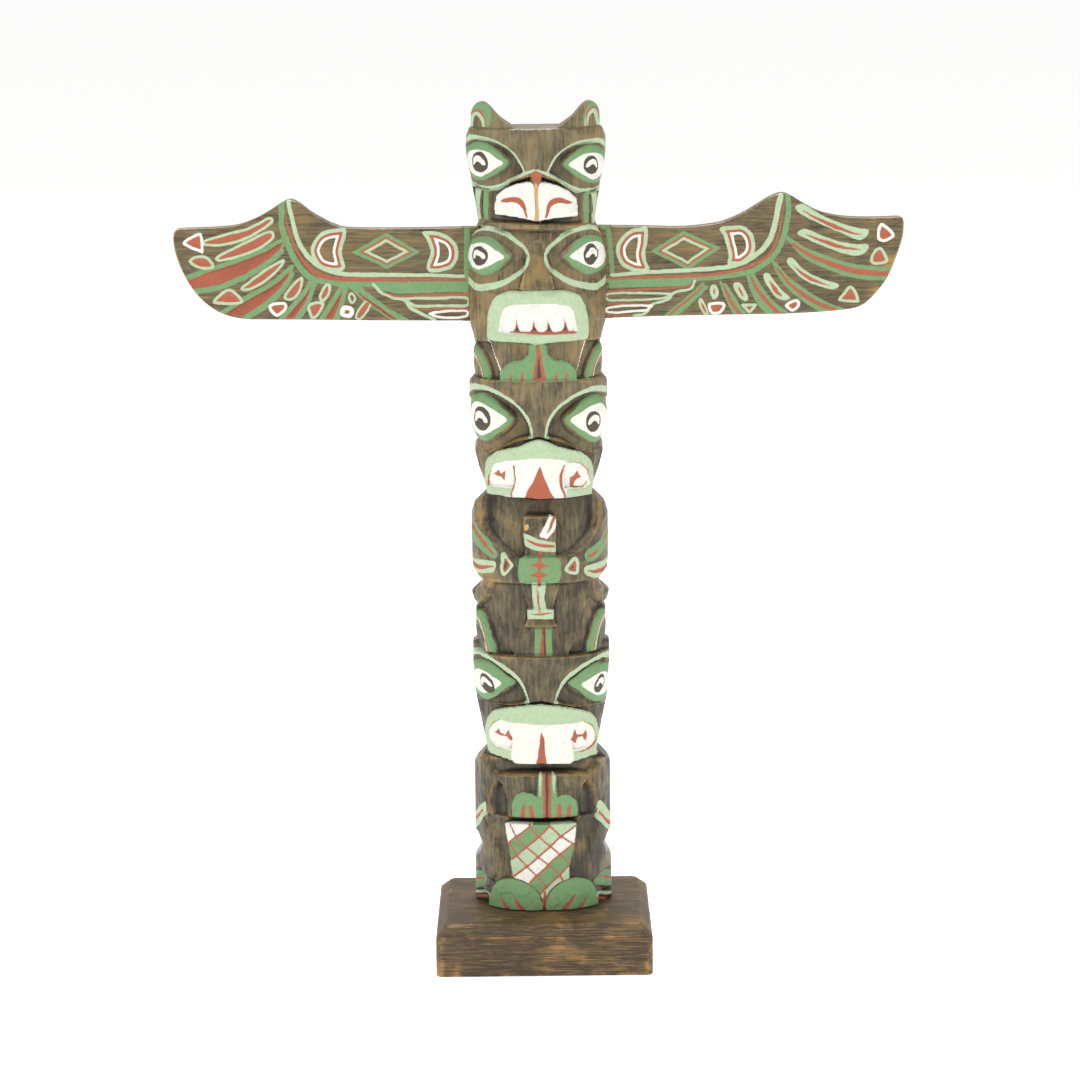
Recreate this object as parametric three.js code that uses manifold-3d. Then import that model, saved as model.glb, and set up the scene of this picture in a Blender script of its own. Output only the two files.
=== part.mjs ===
// Model totem pole: a carved wooden pole of stacked figures, with two wings let into its sides,
// standing on a chamfered wooden base. Millimetres, +Z up, the carved front faces -Y.
// The origin is at the middle of the base's underside.
import * as THREE from "three";
import { mergeVertices } from "three/addons/utils/BufferGeometryUtils.js";
import Module from "manifold-3d";

const wasm = await Module();
wasm.setup();

const BASE = { width: 97.6, depth: 78, height: 23.2, chamfer: 5, cornerRadius: 2.5 };

// The blank that the pole is carved from: round in front, flat with round corners at the back
const POLE = { width: 63.4, frontDepth: 22, backDepth: 14, height: 354 };
const EAR = { height: 11, thickness: 16, inset: 0.8, root: 3 };
const WING = { length: 130.3, rootHeight: 41, thickness: 8, tongue: 6, forward: 3, grooveDepth: 0.9 };
const CLEARANCE = 0.3;

const COLOURS = { wood: 0x5c4d38, base: 0x5f4c30 };

// The carver's drawings, and the sizes at which they are drawn.
// In the plan of the pole, z is the height above its foot, and u runs round its front from the
// centre line, DRAWN.girth mm for each radian.
const DRAWN = {
  width: 63.4, height: 354, girth: 26.7, earHeight: 11, wingLength: 131, wingHeight: 41, wingFoot: 268.6,
};

const poleUp = (z) => (z * POLE.height) / DRAWN.height;
const wingFoot = BASE.height + poleUp(DRAWN.wingFoot);
const poleMiddle = (POLE.frontDepth - POLE.backDepth) / 2;

const smoothstep = (low, high, x) => THREE.MathUtils.smoothstep(x, low, high);

// Outlines

function spline(points, steps) {
  const curve = new THREE.SplineCurve(points.map(([x, y]) => new THREE.Vector2(x, y)));
  return curve.getPoints(steps).map((p) => [p.x, p.y]);
}

// Distance to a closed outline, negative inside it
function signedDistance(outline, u, z) {
  let nearest = Infinity;
  let inside = false;
  for (let i = 0, j = outline.length - 1; i < outline.length; j = i++) {
    const [u1, z1] = outline[i];
    const [u2, z2] = outline[j];
    const du = u2 - u1;
    const dz = z2 - z1;
    const length2 = du * du + dz * dz || 1e-12;
    const along = THREE.MathUtils.clamp(((u - u1) * du + (z - z1) * dz) / length2, 0, 1);
    nearest = Math.min(nearest, Math.hypot(u - u1 - along * du, z - z1 - along * dz));
    if (z1 > z !== z2 > z && u < u1 + ((z - z1) / dz) * du) inside = !inside;
  }
  return inside ? -nearest : nearest;
}

// A shape across the centre line is given by its right half, from top to bottom or bottom to top.
// A pair of shapes is given by the right one.
const middle = (half) => {
  const whole = [...half, ...half.map(([u, z]) => [-u, z]).reverse()];
  return (u, z) => signedDistance(whole, u, z);
};
const pair = (outline) => (u, z) => signedDistance(outline, Math.abs(u), z);

// Cuts: inside a shape the wood is taken to a depth under the blank, over a sloping edge

const cut = (shape, depth, edge = 2.4) => ({
  shape,
  edge,
  depth: typeof depth === "function" ? depth : () => depth,
});

// Depth that changes with height, from one level to another
const slope = (lowZ, lowDepth, highZ, highDepth) => (u, z) =>
  THREE.MathUtils.mapLinear(THREE.MathUtils.clamp(z, lowZ, highZ), lowZ, highZ, lowDepth, highDepth);

// An eyeball: an almond with a pointed inner corner, domed
function eye({ tip, top, outer, bottom, rim, rise }) {
  const outline = spline([tip, top, outer, bottom, tip], 14);
  const centre = [(tip[0] + outer[0]) / 2, (top[1] + bottom[1]) / 2];
  const radii = [(outer[0] - tip[0]) / 2, (top[1] - bottom[1]) / 2];
  const dome = (u, z) => {
    const away = Math.hypot((Math.abs(u) - centre[0]) / radii[0], (z - centre[1]) / radii[1]);
    return rim - rise * Math.sqrt(Math.max(0, 1 - away * away));
  };
  return cut(pair(outline), dome, 2.2);
}

// An eye socket between a brow line and a cheek line, deepest by the nose
function socket(brow, cheek, inner, outer) {
  const outline = [...spline(brow, 10), ...spline(cheek, 8)];
  return cut(pair(outline), (u) => THREE.MathUtils.lerp(inner, outer, smoothstep(4, 34, Math.abs(u))), 2.6);
}

// A snout or a pair of lips that stands forward, leaning out towards its lower edge
function snout(half, lowZ, highZ, lowDepth, highDepth) {
  return cut(middle(half), slope(lowZ, lowDepth, highZ, highDepth), 1.8);
}

// The tall ears of the animal faces: raised on the sides, hollow in the middle
function sideEar(foot, top) {
  const height = top - foot;
  const outer = spline([[22.3, foot], [24.8, foot + 0.55 * height], [33, top], [44, foot + 0.8 * height]], 8);
  const inner = spline([[27, foot], [29.5, foot + 0.42 * height], [34, foot + 0.66 * height], [40, foot]], 8);
  return [
    cut(pair([...outer, [44, foot]]), 1.6),
    cut(pair(inner), 3.4),
  ];
}

const owlHead = [
  cut(middle([[43, 310], [43, 354]]), slope(318, 2.6, 346, 1.2), 2),
  cut(middle([[32, 313], [33, 329], [22, 327], [0, 334]]), 5.4, 1.6),
  socket(
    [[41.5, 344.5], [34, 348.2], [20, 348.4], [9.5, 343], [5, 335.5]],
    [[5, 335.5], [11.3, 331.3], [22, 327], [34, 328.7], [41.5, 331]],
    4.6, 2.4,
  ),
  eye({ tip: [12, 339.5], top: [27, 346.3], outer: [41, 339.5], bottom: [26.5, 331.7], rim: 2.6, rise: 1.6 }),
  // The hooked bill
  snout(
    [[0, 329.5], [3.2, 331], [10, 329], [16.5, 325.5], [17.8, 321], [16.5, 316.2], [8, 315.6], [0, 314.1]],
    315, 331, 0.2, 3.0,
  ),
  cut(middle([[3.4, 329], [2.2, 335.6], [0, 336.4]]), 1.6),
  // Cheek flaps beside the bill
  cut(pair([[24, 312], [22, 326], [34, 327], [31, 312]]), 3.8),
];

const wingedFigure = [
  cut(middle([[43, 258], [43, 313.6]]), slope(297, 2.4, 313.6, 6.6), 1.4),
  socket(
    [[41.5, 304], [31, 309.9], [19, 309.8], [8.8, 304.5], [4.2, 298]],
    [[4.2, 298], [9.8, 289.8], [20, 285], [31, 284], [41.5, 289]],
    5.0, 2.0,
  ),
  eye({ tip: [12, 298.5], top: [26, 306.2], outer: [41, 298], bottom: [27, 290.6], rim: 2.2, rise: 1.8 }),
  // Nose
  cut(middle([[0, 304], [3.6, 303], [4.6, 296], [7, 284.2]]), slope(285, 0.6, 303, 3.0), 1.0),
  // Lips, the open mouth and the row of teeth
  snout(
    [[0, 283.7], [15, 283.2], [20, 280.2], [22.8, 273], [23, 264], [20.5, 261.8], [0, 260.6]],
    261, 284, 1.0, 2.2,
  ),
  cut(middle([[0, 277.9], [11, 276.9], [15.4, 272], [16, 265], [0, 265]]), 2.9, 1.4),
  // Chest between the lapels, and the paws held on it
  cut(middle([[43, 244], [43, 260.6]]), 4.8, 0.8),
  cut(middle([[22.6, 260.6], [16.2, 244]]), 3.0, 1.6),
  cut(middle([[2.2, 260], [3.4, 255.4], [9, 253.4], [14.5, 251], [16.6, 247], [16.8, 244.2]]), 1.6, 1.6),
  ...sideEar(244.2, 259),
];

const fangedFace = [
  cut(middle([[43, 192], [43, 244.2]]), slope(219, 2.4, 244, 0.4), 0.8),
  socket(
    [[42, 234.6], [34, 238], [20, 238.2], [9.5, 231.6], [3.8, 219.4]],
    [[3.8, 219.4], [10.4, 217.4], [15.7, 214.7], [22.6, 211.7], [42, 213.4]],
    6.2, 2.4,
  ),
  eye({ tip: [12, 226.3], top: [29, 236], outer: [41.5, 226.5], bottom: [26.5, 216.4], rim: 2.6, rise: 1.9 }),
  // Cheeks step back under the ridge
  cut(middle([[33, 192], [38, 212], [22.6, 210.8], [10.4, 216.4], [0, 218.6]]), 4.6, 1.0),
  snout(
    [[0, 217.7], [4, 216.5], [13, 213.2], [20, 211.2], [24.4, 207.5], [25.5, 201], [24.2, 192.2], [0, 191.4]],
    193, 217, 0.0, 2.0,
  ),
  cut(pair([[10, 196], [10, 206], [20, 204.5], [22, 200], [21.6, 196]]), 1.8),
];

const birdOnChest = [
  cut(middle([[43, 153], [43, 191.6]]), slope(153, 1.6, 190, 1.0), 1.2),
  // The hollow between the folded wings
  cut(
    middle([[28, 191.6], [29, 181], [24, 173.5], [14.5, 166.4], [8.6, 165], [0, 165]]),
    slope(166, 5.0, 190, 7.6),
    2.0,
  ),
  cut(middle([[8.5, 153], [8.5, 165]]), 1.0, 0.8),
  // Below the folded wings: thighs at the sides, the panel between them
  cut(middle([[43, 119.5], [43, 152.4]]), slope(119.5, 3.4, 152, 4.6), 1.0),
  cut(pair([[24, 152.4], [26, 146], [43, 138.4], [43, 152.4]]), 1.8),
  cut(pair([[12.6, 119.5], [17, 130], [25.5, 145.6], [43, 138], [43, 119.5]]), 5.2),
  ...sideEar(122.4, 138.6),
  // The small figure that the large one holds
  cut(middle([[7, 165], [7, 183.4]]), 2.6, 0.8),
  cut(middle([[8.6, 152.4], [5.2, 141]]), 2.2, 0.8),
  cut(middle([[5.4, 141.2], [6.8, 132.8]]), slope(133, 0.8, 141, 1.4), 0.8),
];

const beaverFace = [
  cut(
    middle([[43, 70], [43, 122.4], [30, 123], [17, 121.2], [11, 119.4], [0, 119.2]]),
    slope(98, 2.6, 121, 0.6),
    0.8,
  ),
  socket(
    [[42, 113.8], [34, 116.8], [22.5, 115], [12.4, 109.4], [6.6, 98.6]],
    [[6.6, 98.6], [14.6, 96.2], [28.4, 96], [42, 97.4]],
    5.6, 2.4,
  ),
  eye({ tip: [12, 106.6], top: [29, 114.2], outer: [41.5, 105], bottom: [27.5, 97.6], rim: 2.8, rise: 1.8 }),
  cut(middle([[34, 70], [40, 95], [14.6, 95.4], [0, 98.2]]), 4.4, 1.0),
  snout(
    [
      [0, 96.6], [14, 94.6], [23, 92.2], [27, 88.6], [28.6, 82], [26, 73], [13, 70.6], [11.4, 69.6],
      [0, 69.6],
    ],
    71, 96, 0.0, 2.2,
  ),
  cut(pair([[11.4, 76], [11.4, 87.4], [21, 86.6], [24, 82], [20, 76.4]]), 1.8),
];

const beaverBody = [
  cut(middle([[43, 0], [43, 69.6]]), 1.4, 1.0),
  // Shadowed neck under the front teeth
  cut(middle([[26, 69.6], [24, 63], [14, 65]]), 7.4, 1.0),
  // Hollow inside each bent elbow
  cut(pair([[14.6, 44], [15, 51], [18.4, 58.4], [21.4, 60.6], [27, 55.6], [27.6, 44]]), 5.2),
  // Paws
  cut(middle([[1.4, 64.6], [2, 56], [8, 56.2], [13, 53.4], [15, 48.6], [15, 43.8]]), 0.7, 0.8),
  // Between the knees, behind the raised tail
  cut(middle([[0, 10], [18, 14], [20, 28], [27, 43.8]]), 4.6, 2.0),
  cut(middle([[15.6, 41.2], [15.6, 43.8]]), 8.0, 0.6),
  cut(middle([[16.4, 40.8], [12.6, 14], [0, 8]]), 1.2, 1.6),
  // Shins run down and inwards to the feet
  cut(pair([[42, 18], [28, 13.6], [20, 12], [24, 0], [42, 0]]), 3.0),
  cut(
    pair([[0.9, 0], [0.9, 4], [3, 9.6], [8, 13.6], [14, 14.8], [20, 13], [24.4, 9], [26, 4], [26, 0]]),
    0.4,
  ),
];

const cuts = [
  ...beaverBody, ...beaverFace, ...birdOnChest, ...fangedFace, ...wingedFigure, ...owlHead,
];

// How far the pole's sides are set back, seen from the front: [height, set-back]
const sideProfile = [
  [0, 0.8], [2, 0.2], [20.6, 0.3], [24, 2.3], [28.8, 4.2], [34, 0.4], [65.6, 0.5], [68.2, 2.2],
  [73.8, 7.6], [78, 6.4], [82, 5], [89, 3.8], [96, 2.7], [108, 1.8], [111.4, 1.5], [112.6, 0.5],
  [122.4, 0.6], [123.6, 2.4], [130, 2], [138, 2.2], [139.6, 3.6], [142, 1.4], [145.4, 0.5],
  [149.4, 4.9], [152.6, 6], [156.5, 1.3], [160, 0.8], [182, 0.8], [186.2, 2.3], [192.6, 8.8],
  [198, 7.2], [204, 4.8], [209.8, 2.9], [213.5, 3], [216.5, 4.8], [221, 1.6], [227, 0.8], [233.4, 1.5],
  [234.6, 0.6], [241.5, 0.8], [244.6, 3.4], [250, 2.8], [256, 3.1], [258.5, 3.9], [262.7, 2.9],
  [268, 1.4], [278, 0.7], [297, 0.9], [306, 2.7], [313, 6.6], [321.5, 5.4], [330.8, 3.2],
  [340.5, 1.2], [345.5, 0.8], [350, 1], [354, 2.6],
];

function profileAt(profile, z) {
  const next = profile.findIndex(([height]) => height > z);
  if (next < 0) return profile[profile.length - 1][1];
  if (next === 0) return profile[0][1];
  const [[lowZ, low], [highZ, high]] = [profile[next - 1], profile[next]];
  return THREE.MathUtils.mapLinear(z, lowZ, highZ, low, high);
}

// Depth of the carving at a point of the plan
function carvedDepth(u, z) {
  let depth = 2;
  for (const { shape, depth: target, edge } of cuts) {
    const share = 1 - smoothstep(-edge / 2, edge / 2, shape(u, z));
    if (share > 0) depth = THREE.MathUtils.lerp(depth, target(u, z), share);
  }
  return THREE.MathUtils.lerp(depth, profileAt(sideProfile, z), smoothstep(33, 40, Math.abs(u)));
}

// The blank's surface at an angle from the front centre line, seen from above
function blankPoint(angle) {
  const across = Math.sin(angle);
  const along = Math.cos(angle);
  const squareness = along < 0 ? 0.5 : 1;
  const halfDepth = along < 0 ? POLE.backDepth : POLE.frontDepth;
  return new THREE.Vector2(
    (POLE.width / 2) * Math.sign(across) * Math.abs(across) ** squareness,
    -halfDepth * Math.sign(along) * Math.abs(along) ** squareness,
  );
}

// A point of the carved surface, cut in towards the middle of the blank
function polePoint(angle, z, extraDepth = 0) {
  const blank = blankPoint(angle);
  const turn = Math.abs(angle);
  const planDepth =
    turn <= Math.PI / 2
      ? carvedDepth(angle * DRAWN.girth, z)
      : profileAt(sideProfile, z) * Math.sin(turn);
  const depth = planDepth * (POLE.width / DRAWN.width) + extraDepth;
  const point = blank.multiplyScalar(1 - depth / blank.length());
  return new THREE.Vector3(point.x, point.y + poleMiddle, BASE.height + poleUp(z));
}

// A closed solid through rings of equal length, each end closed by a fan from its middle.
// Each four-sided facet is split along its shorter diagonal.
function loft(rings) {
  const count = rings[0].length;
  const points = rings.flat();
  const positions = points.flatMap((p) => [p.x, p.y, p.z]);
  const indices = [];
  for (let row = 0; row < rings.length - 1; row++) {
    for (let i = 0; i < count; i++) {
      const [a, b] = [row * count + i, row * count + ((i + 1) % count)];
      const [c, d] = [b + count, a + count];
      const upright = points[a].distanceTo(points[c]) <= points[b].distanceTo(points[d]);
      indices.push(...(upright ? [a, b, c, a, c, d] : [a, b, d, b, c, d]));
    }
  }
  const cap = (ring, start, flip) => {
    const centre = ring.reduce((sum, p) => sum.add(p), new THREE.Vector3()).divideScalar(count);
    const hub = positions.length / 3;
    positions.push(centre.x, centre.y, centre.z);
    for (let i = 0; i < count; i++) {
      const [a, b] = [start + i, start + ((i + 1) % count)];
      indices.push(...(flip ? [hub, b, a] : [hub, a, b]));
    }
  };
  cap(rings[0], 0, true);
  cap(rings[rings.length - 1], (rings.length - 1) * count, false);
  const geometry = new THREE.BufferGeometry();
  geometry.setAttribute("position", new THREE.Float32BufferAttribute(positions, 3));
  geometry.setIndex(indices);
  return geometry;
}

// Joining and cutting

function toSolid(geometry) {
  const bare = geometry.clone();
  bare.deleteAttribute("normal");
  bare.deleteAttribute("uv");
  const merged = mergeVertices(bare, 1e-4);
  return new wasm.Manifold(
    new wasm.Mesh({
      numProp: 3,
      vertProperties: new Float32Array(merged.attributes.position.array),
      triVerts: new Uint32Array(merged.index.array),
    }),
  );
}

function toGeometry(solid) {
  const mesh = solid.getMesh();
  const geometry = new THREE.BufferGeometry();
  geometry.setAttribute("position", new THREE.Float32BufferAttribute(mesh.vertProperties, 3));
  geometry.setIndex(Array.from(mesh.triVerts));
  geometry.computeVertexNormals();
  return geometry;
}

// An outline in the XZ plane given a thickness along Y, starting at frontY
function slab(outline, frontY, thickness) {
  const shape = new THREE.Shape(outline.map(([x, z]) => new THREE.Vector2(x, z)));
  const geometry = new THREE.ExtrudeGeometry(shape, { depth: thickness, bevelEnabled: false });
  geometry.rotateX(Math.PI / 2);
  geometry.translate(0, frontY + thickness, 0);
  return geometry;
}

// Pole

const columnsFromFront = [0, 2.2, 4.4, 7, 9.6, 12.2, 14.8, 17.4, 20.2, 23.2, 26.2, 29.4, 32.8, 36.6]
  .map((u) => u / DRAWN.girth);
const columnsToBack = [90, 101, 114, 130, 152].map(THREE.MathUtils.degToRad);

function poleAngles() {
  const right = [...columnsFromFront, ...columnsToBack];
  const left = right.slice(1).reverse().map((angle) => -angle);
  return [...right, Math.PI, ...left];
}

// Heights at which the carving steps in or out; each is given a close pair of rows
const ledges = [
  28.8, 41, 43.8, 65.2, 69.7, 76, 97.2, 112, 119.4, 122.9, 132.8, 141.1, 152.4, 165, 191.6,
  218.8, 212.6, 234, 244.3, 260.6, 284.2, 313.8, 331,
];
const LEDGE_HALF = 0.5;
const ROW_STEP = 4.6;

function poleHeights() {
  const heights = ledges.flatMap((z) => [z - LEDGE_HALF, z + LEDGE_HALF]);
  const rows = Math.round(DRAWN.height / ROW_STEP);
  for (let i = 0; i <= rows; i++) {
    const z = (i * DRAWN.height) / rows;
    const crowded = heights.some((other) => Math.abs(other - z) < ROW_STEP / 3);
    if (!crowded || i === 0 || i === rows) heights.push(z);
  }
  return heights.sort((a, b) => a - b);
}

const poleRings = (heights, extraDepth) =>
  heights.map((z) => poleAngles().map((angle) => polePoint(angle, z, extraDepth)));

// Each ear is a fin on the flat top of the head, and keeps to the outline of the head below it
const earOutline = [
  [30, 0], [29.4, 7], [27.2, 10.3], [24.2, 11], [21.2, 10], [17.8, 6.6], [14, 2.8], [10.4, 0],
];

function earSolid(side) {
  const headTop = BASE.height + POLE.height;
  const outline = [[30, -EAR.root], ...spline(earOutline, 16), [10.4, -EAR.root]].map(([x, z]) => [
    (side * x * POLE.width) / DRAWN.width,
    headTop + (z < 0 ? z : (z * EAR.height) / DRAWN.earHeight),
  ]);
  const fin = slab(outline, poleMiddle - EAR.thickness, EAR.thickness);
  const shrink = polePoint(Math.PI / 2, DRAWN.height, EAR.inset).x / (POLE.width / 2);
  const post = loft([headTop - EAR.root, headTop + 2 * EAR.height].map((z) =>
    poleAngles().map((angle) => {
      const p = blankPoint(angle).multiplyScalar(shrink);
      return new THREE.Vector3(p.x, p.y + poleMiddle, z);
    }),
  ));
  return toSolid(fin).intersect(toSolid(post));
}

// Wings: flat boards whose square root ends are let into the sides of the pole

const wingFront = poleMiddle - WING.forward;
const scaleWing = ([s, t]) => [
  (s * WING.length) / DRAWN.wingLength,
  (t * WING.rootHeight) / DRAWN.wingHeight,
];

const wingTop = [
  [0, 41], [33, 40.6], [48, 41.9], [59.5, 46], [68.5, 51.2], [77.6, 54.9], [87, 50.2], [97.5, 45.8],
  [112, 42.9], [128.5, 42.6],
];
const wingTip = [[131, 40.6], [130.4, 34], [126.8, 25], [120, 14], [110, 5.4], [100, 2.4], [85, 1.6]];

function wingOutline() {
  const blade = [[0, 0], ...[...spline(wingTop, 30), ...spline(wingTip, 16)].reverse()].map(scaleWing);
  return [...blade, [-WING.tongue, WING.rootHeight], [-WING.tongue, 0]];
}

const besidePole = (side) => ([s, t]) => [side * (s + POLE.width / 2), t + wingFoot];

// The red feather grooves: [root, bend, end, widest]
const wingGrooves = [
  [[78.6, 45], [72, 24], [52, 19.2], 2.2],
  [[52, 19.2], [26, 18.6], [2, 18.2], 2.0],
  [[80.6, 34.6], [98, 25.8], [119, 16.6], 3.4],
  [[78.2, 23.2], [88, 12.8], [99, 4.4], 3.0],
  [[68.6, 16], [73, 9], [77.6, 3.4], 2.4],
  [[54.4, 14], [57, 8.6], [60, 3], 2.4],
  [[49, 15.6], [40, 8.4], [31, 2.8], 1.8],
];

function grooveOutline([start, bend, end, widest]) {
  const path = spline([start, bend, end], 8).map((p) => new THREE.Vector2(...p));
  const edge = (side) => path.map((p, i) => {
    const ahead = path[Math.min(i + 1, path.length - 1)];
    const behind = path[Math.max(i - 1, 0)];
    const normal = ahead.clone().sub(behind).normalize().rotateAround(new THREE.Vector2(), Math.PI / 2);
    const width = widest * (0.35 + 0.65 * Math.sin((Math.PI * (i + 1)) / (path.length + 1)));
    return p.clone().addScaledVector(normal, (side * width) / 2).toArray();
  });
  return [...edge(1), ...edge(-1).reverse()].map(scaleWing);
}

function wingGeometry(side) {
  const place = besidePole(side);
  let board = toSolid(slab(wingOutline().map(place), wingFront, WING.thickness));
  for (const groove of wingGrooves) {
    const outline = grooveOutline(groove).map(place);
    const cutter = slab(outline, wingFront - WING.thickness, WING.thickness + WING.grooveDepth);
    board = board.subtract(toSolid(cutter));
  }
  return toGeometry(board);
}

// The slots that take the wings' root ends
function wingSlot(side) {
  const inner = POLE.width / 2 - WING.tongue - CLEARANCE;
  const outer = POLE.width;
  const slot = new THREE.BoxGeometry(
    outer - inner,
    WING.thickness + 2 * CLEARANCE,
    WING.rootHeight + 2 * CLEARANCE,
  );
  slot.translate(
    (side * (inner + outer)) / 2,
    wingFront + WING.thickness / 2,
    wingFoot + WING.rootHeight / 2,
  );
  return toSolid(slot);
}

function poleGeometry() {
  let pole = toSolid(loft(poleRings(poleHeights())));
  for (const side of [-1, 1]) {
    pole = pole.add(earSolid(side)).subtract(wingSlot(side));
  }
  return toGeometry(pole);
}

// Base: a block with a wide chamfer round its top edges

function baseGeometry() {
  const ring = (inset, z) => {
    const [halfX, halfY] = [BASE.width / 2 - inset, BASE.depth / 2 - inset];
    const radius = BASE.cornerRadius;
    const steps = 3;
    const points = [];
    for (const [sx, sy, start] of [[1, 1, 0], [-1, 1, 1], [-1, -1, 2], [1, -1, 3]]) {
      for (let i = 0; i <= steps; i++) {
        const angle = ((start + i / steps) * Math.PI) / 2;
        points.push(new THREE.Vector3(
          sx * (halfX - radius) + radius * Math.cos(angle),
          sy * (halfY - radius) + radius * Math.sin(angle),
          z,
        ));
      }
    }
    return points;
  };
  return loft([
    ring(0.8, 0),
    ring(0, 0.8),
    ring(0, BASE.height - BASE.chamfer),
    ring(BASE.chamfer, BASE.height),
  ]);
}

function piece(name, geometry, colour) {
  const material = new THREE.MeshStandardMaterial({ color: colour, roughness: 0.7, metalness: 0 });
  const mesh = new THREE.Mesh(geometry, material);
  mesh.name = name;
  return mesh;
}

const totemPole = new THREE.Group();
totemPole.add(
  piece("base", baseGeometry(), COLOURS.base),
  piece("pole", poleGeometry(), COLOURS.wood),
  piece("left_wing", wingGeometry(-1), COLOURS.wood),
  piece("right_wing", wingGeometry(1), COLOURS.wood),
);

export default totemPole;
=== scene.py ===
# A carved and painted wooden model totem pole with two wings, on a chamfered base.
# Shapes are worked out in millimetres and become metres when each mesh is made.
# The carver's plan of the pole: z is the height above its foot, and u runs round its front
# from the centre line, GIRTH mm for each radian, so u = 42 is the silhouette's side.
import math

import bpy
import numpy as np
from mathutils import Matrix, Vector


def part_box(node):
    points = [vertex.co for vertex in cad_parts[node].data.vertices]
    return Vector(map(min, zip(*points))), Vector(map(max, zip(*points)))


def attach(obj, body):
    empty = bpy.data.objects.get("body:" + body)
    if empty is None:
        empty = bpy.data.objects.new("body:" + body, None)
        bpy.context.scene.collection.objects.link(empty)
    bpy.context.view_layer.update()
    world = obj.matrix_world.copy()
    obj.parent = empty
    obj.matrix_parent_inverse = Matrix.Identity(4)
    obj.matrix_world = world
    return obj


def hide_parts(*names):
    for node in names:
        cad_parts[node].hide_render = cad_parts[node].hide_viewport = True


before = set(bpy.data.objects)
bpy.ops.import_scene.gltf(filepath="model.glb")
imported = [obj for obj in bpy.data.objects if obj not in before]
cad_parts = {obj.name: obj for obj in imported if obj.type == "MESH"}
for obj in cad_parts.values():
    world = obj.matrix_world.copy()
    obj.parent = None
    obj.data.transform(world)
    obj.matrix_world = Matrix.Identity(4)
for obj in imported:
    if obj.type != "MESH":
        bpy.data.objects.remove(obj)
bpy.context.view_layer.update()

MM = 0.001
GIRTH = 26.7
DRAWN_TOP = 354.0
DRAWN_EAR = 11.0
HALF_WIDTH = 31.7
WING_DATUM = 31.0
FRONT_DEPTH = 22.0
BACK_DEPTH = 14.0
MIDDLE_Y = (FRONT_DEPTH - BACK_DEPTH) / 2

# Where the frame has the pole, and the real size of one drawn millimetre
POLE_LOW, POLE_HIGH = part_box("pole")
FOOT = POLE_LOW.z / MM
UNIT = (POLE_HIGH.z - POLE_LOW.z) / MM / (DRAWN_TOP + DRAWN_EAR)


# Colours

def srgb(red, green, blue):
    """Linear colour from the 0 to 255 values of a screen"""
    values = np.array([red, green, blue]) / 255.0
    linear = np.where(values <= 0.04045, values / 12.92, ((values + 0.055) / 1.055) ** 2.4)
    return (*linear.tolist(), 1.0)


STAIN_DARK = srgb(52, 45, 32)
STAIN = srgb(118, 106, 76)
OCHRE = srgb(141, 111, 59)
BOARD_DARK = srgb(50, 44, 34)
BOARD = srgb(110, 97, 67)
BROWN_DARK = srgb(60, 47, 32)
BROWN = srgb(130, 105, 68)
RAW = srgb(176, 134, 74)
# Dark brown for the brush marks in the paint, the stain pooled in hollows, and the painted shade in
# cuts and hollows
GRIME_AND_SHADE = srgb(36, 31, 24)
PAINTS = {
    "green": srgb(106, 140, 94),
    "mint": srgb(165, 184, 150),
    "white": srgb(216, 214, 205),
    "red": srgb(160, 87, 62),
    "dark": srgb(70, 61, 49),
    "glint": srgb(218, 216, 207),
    "raw": srgb(190, 146, 92),
}
ORDER = ["green", "mint", "white", "red", "dark", "glint", "raw"]

# Reach of the paint round a mark, how fast a groove deepens, and the brush's unsteadiness
FAR = 4.0
GROOVE_SLOPE = 0.9
WOBBLE = 0.16
WOBBLE_CELL = 2.6

# Random draws: the size of each table, and a seed for each use
NOISE_TABLE = (128, 1024)
NOISE_START = (61.3, 37.7)
FACET_TABLE = (64, 512)
FACET_JITTER = 0.42
SEEDS = {
    "paint_across": 5, "paint_along": 6, "pole_grain": 8, "pole_facets": 11, "wing_facets": 13,
    "wing_grain": 21, "base_waver": 31, "base_ripple": 32,
}


# Outlines and distances

def curve(points, steps=5, closed=True):
    """Catmull-Rom curve through the points"""
    p = np.array(points, float)
    count = len(p)
    spans = count if closed else count - 1
    if not closed:
        p = np.vstack([2 * p[0] - p[1], p, 2 * p[-1] - p[-2]])
    t = np.linspace(0, 1, steps, endpoint=False)[:, None]
    out = []
    for i in range(spans):
        if closed:
            a, b, c, d = (p[(i + k - 1) % count] for k in range(4))
        else:
            a, b, c, d = p[i:i + 4]
        out.append(0.5 * (2 * b + (c - a) * t + (2 * a - 5 * b + 4 * c - d) * t ** 2
                          + (3 * b - a - 3 * c + d) * t ** 3))
    if not closed:
        out.append(p[-2][None])
    return np.vstack(out)


def mirror(points):
    """The same points on the other side of the centre line"""
    return [(-u, z) for u, z in points]


def whole(half):
    """The full outline of a shape across the centre line, from its right half"""
    return list(half) + mirror(half)[::-1]


def near(points, u, z, margin=FAR):
    """Which of the plan's points lie near a shape"""
    low, high = np.min(points, axis=0) - margin, np.max(points, axis=0) + margin
    return np.flatnonzero((u > low[0]) & (u < high[0]) & (z > low[1]) & (z < high[1]))


def outline_distance(points, u, z):
    """Distance to a closed outline, negative inside"""
    p = np.array(points, float)
    best = np.full(len(u), 1e9)
    inside = np.zeros(len(u), bool)
    for (u1, z1), (u2, z2) in zip(p, np.roll(p, -1, axis=0)):
        du, dz = u2 - u1, z2 - z1
        along = np.clip(((u - u1) * du + (z - z1) * dz) / (du * du + dz * dz + 1e-12), 0, 1)
        best = np.minimum(best, (u - u1 - along * du) ** 2 + (z - z1 - along * dz) ** 2)
        if z1 != z2:
            inside ^= ((z1 > z) != (z2 > z)) & (u < u1 + (z - z1) / dz * du)
    return np.where(inside, -1, 1) * np.sqrt(best)


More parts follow.
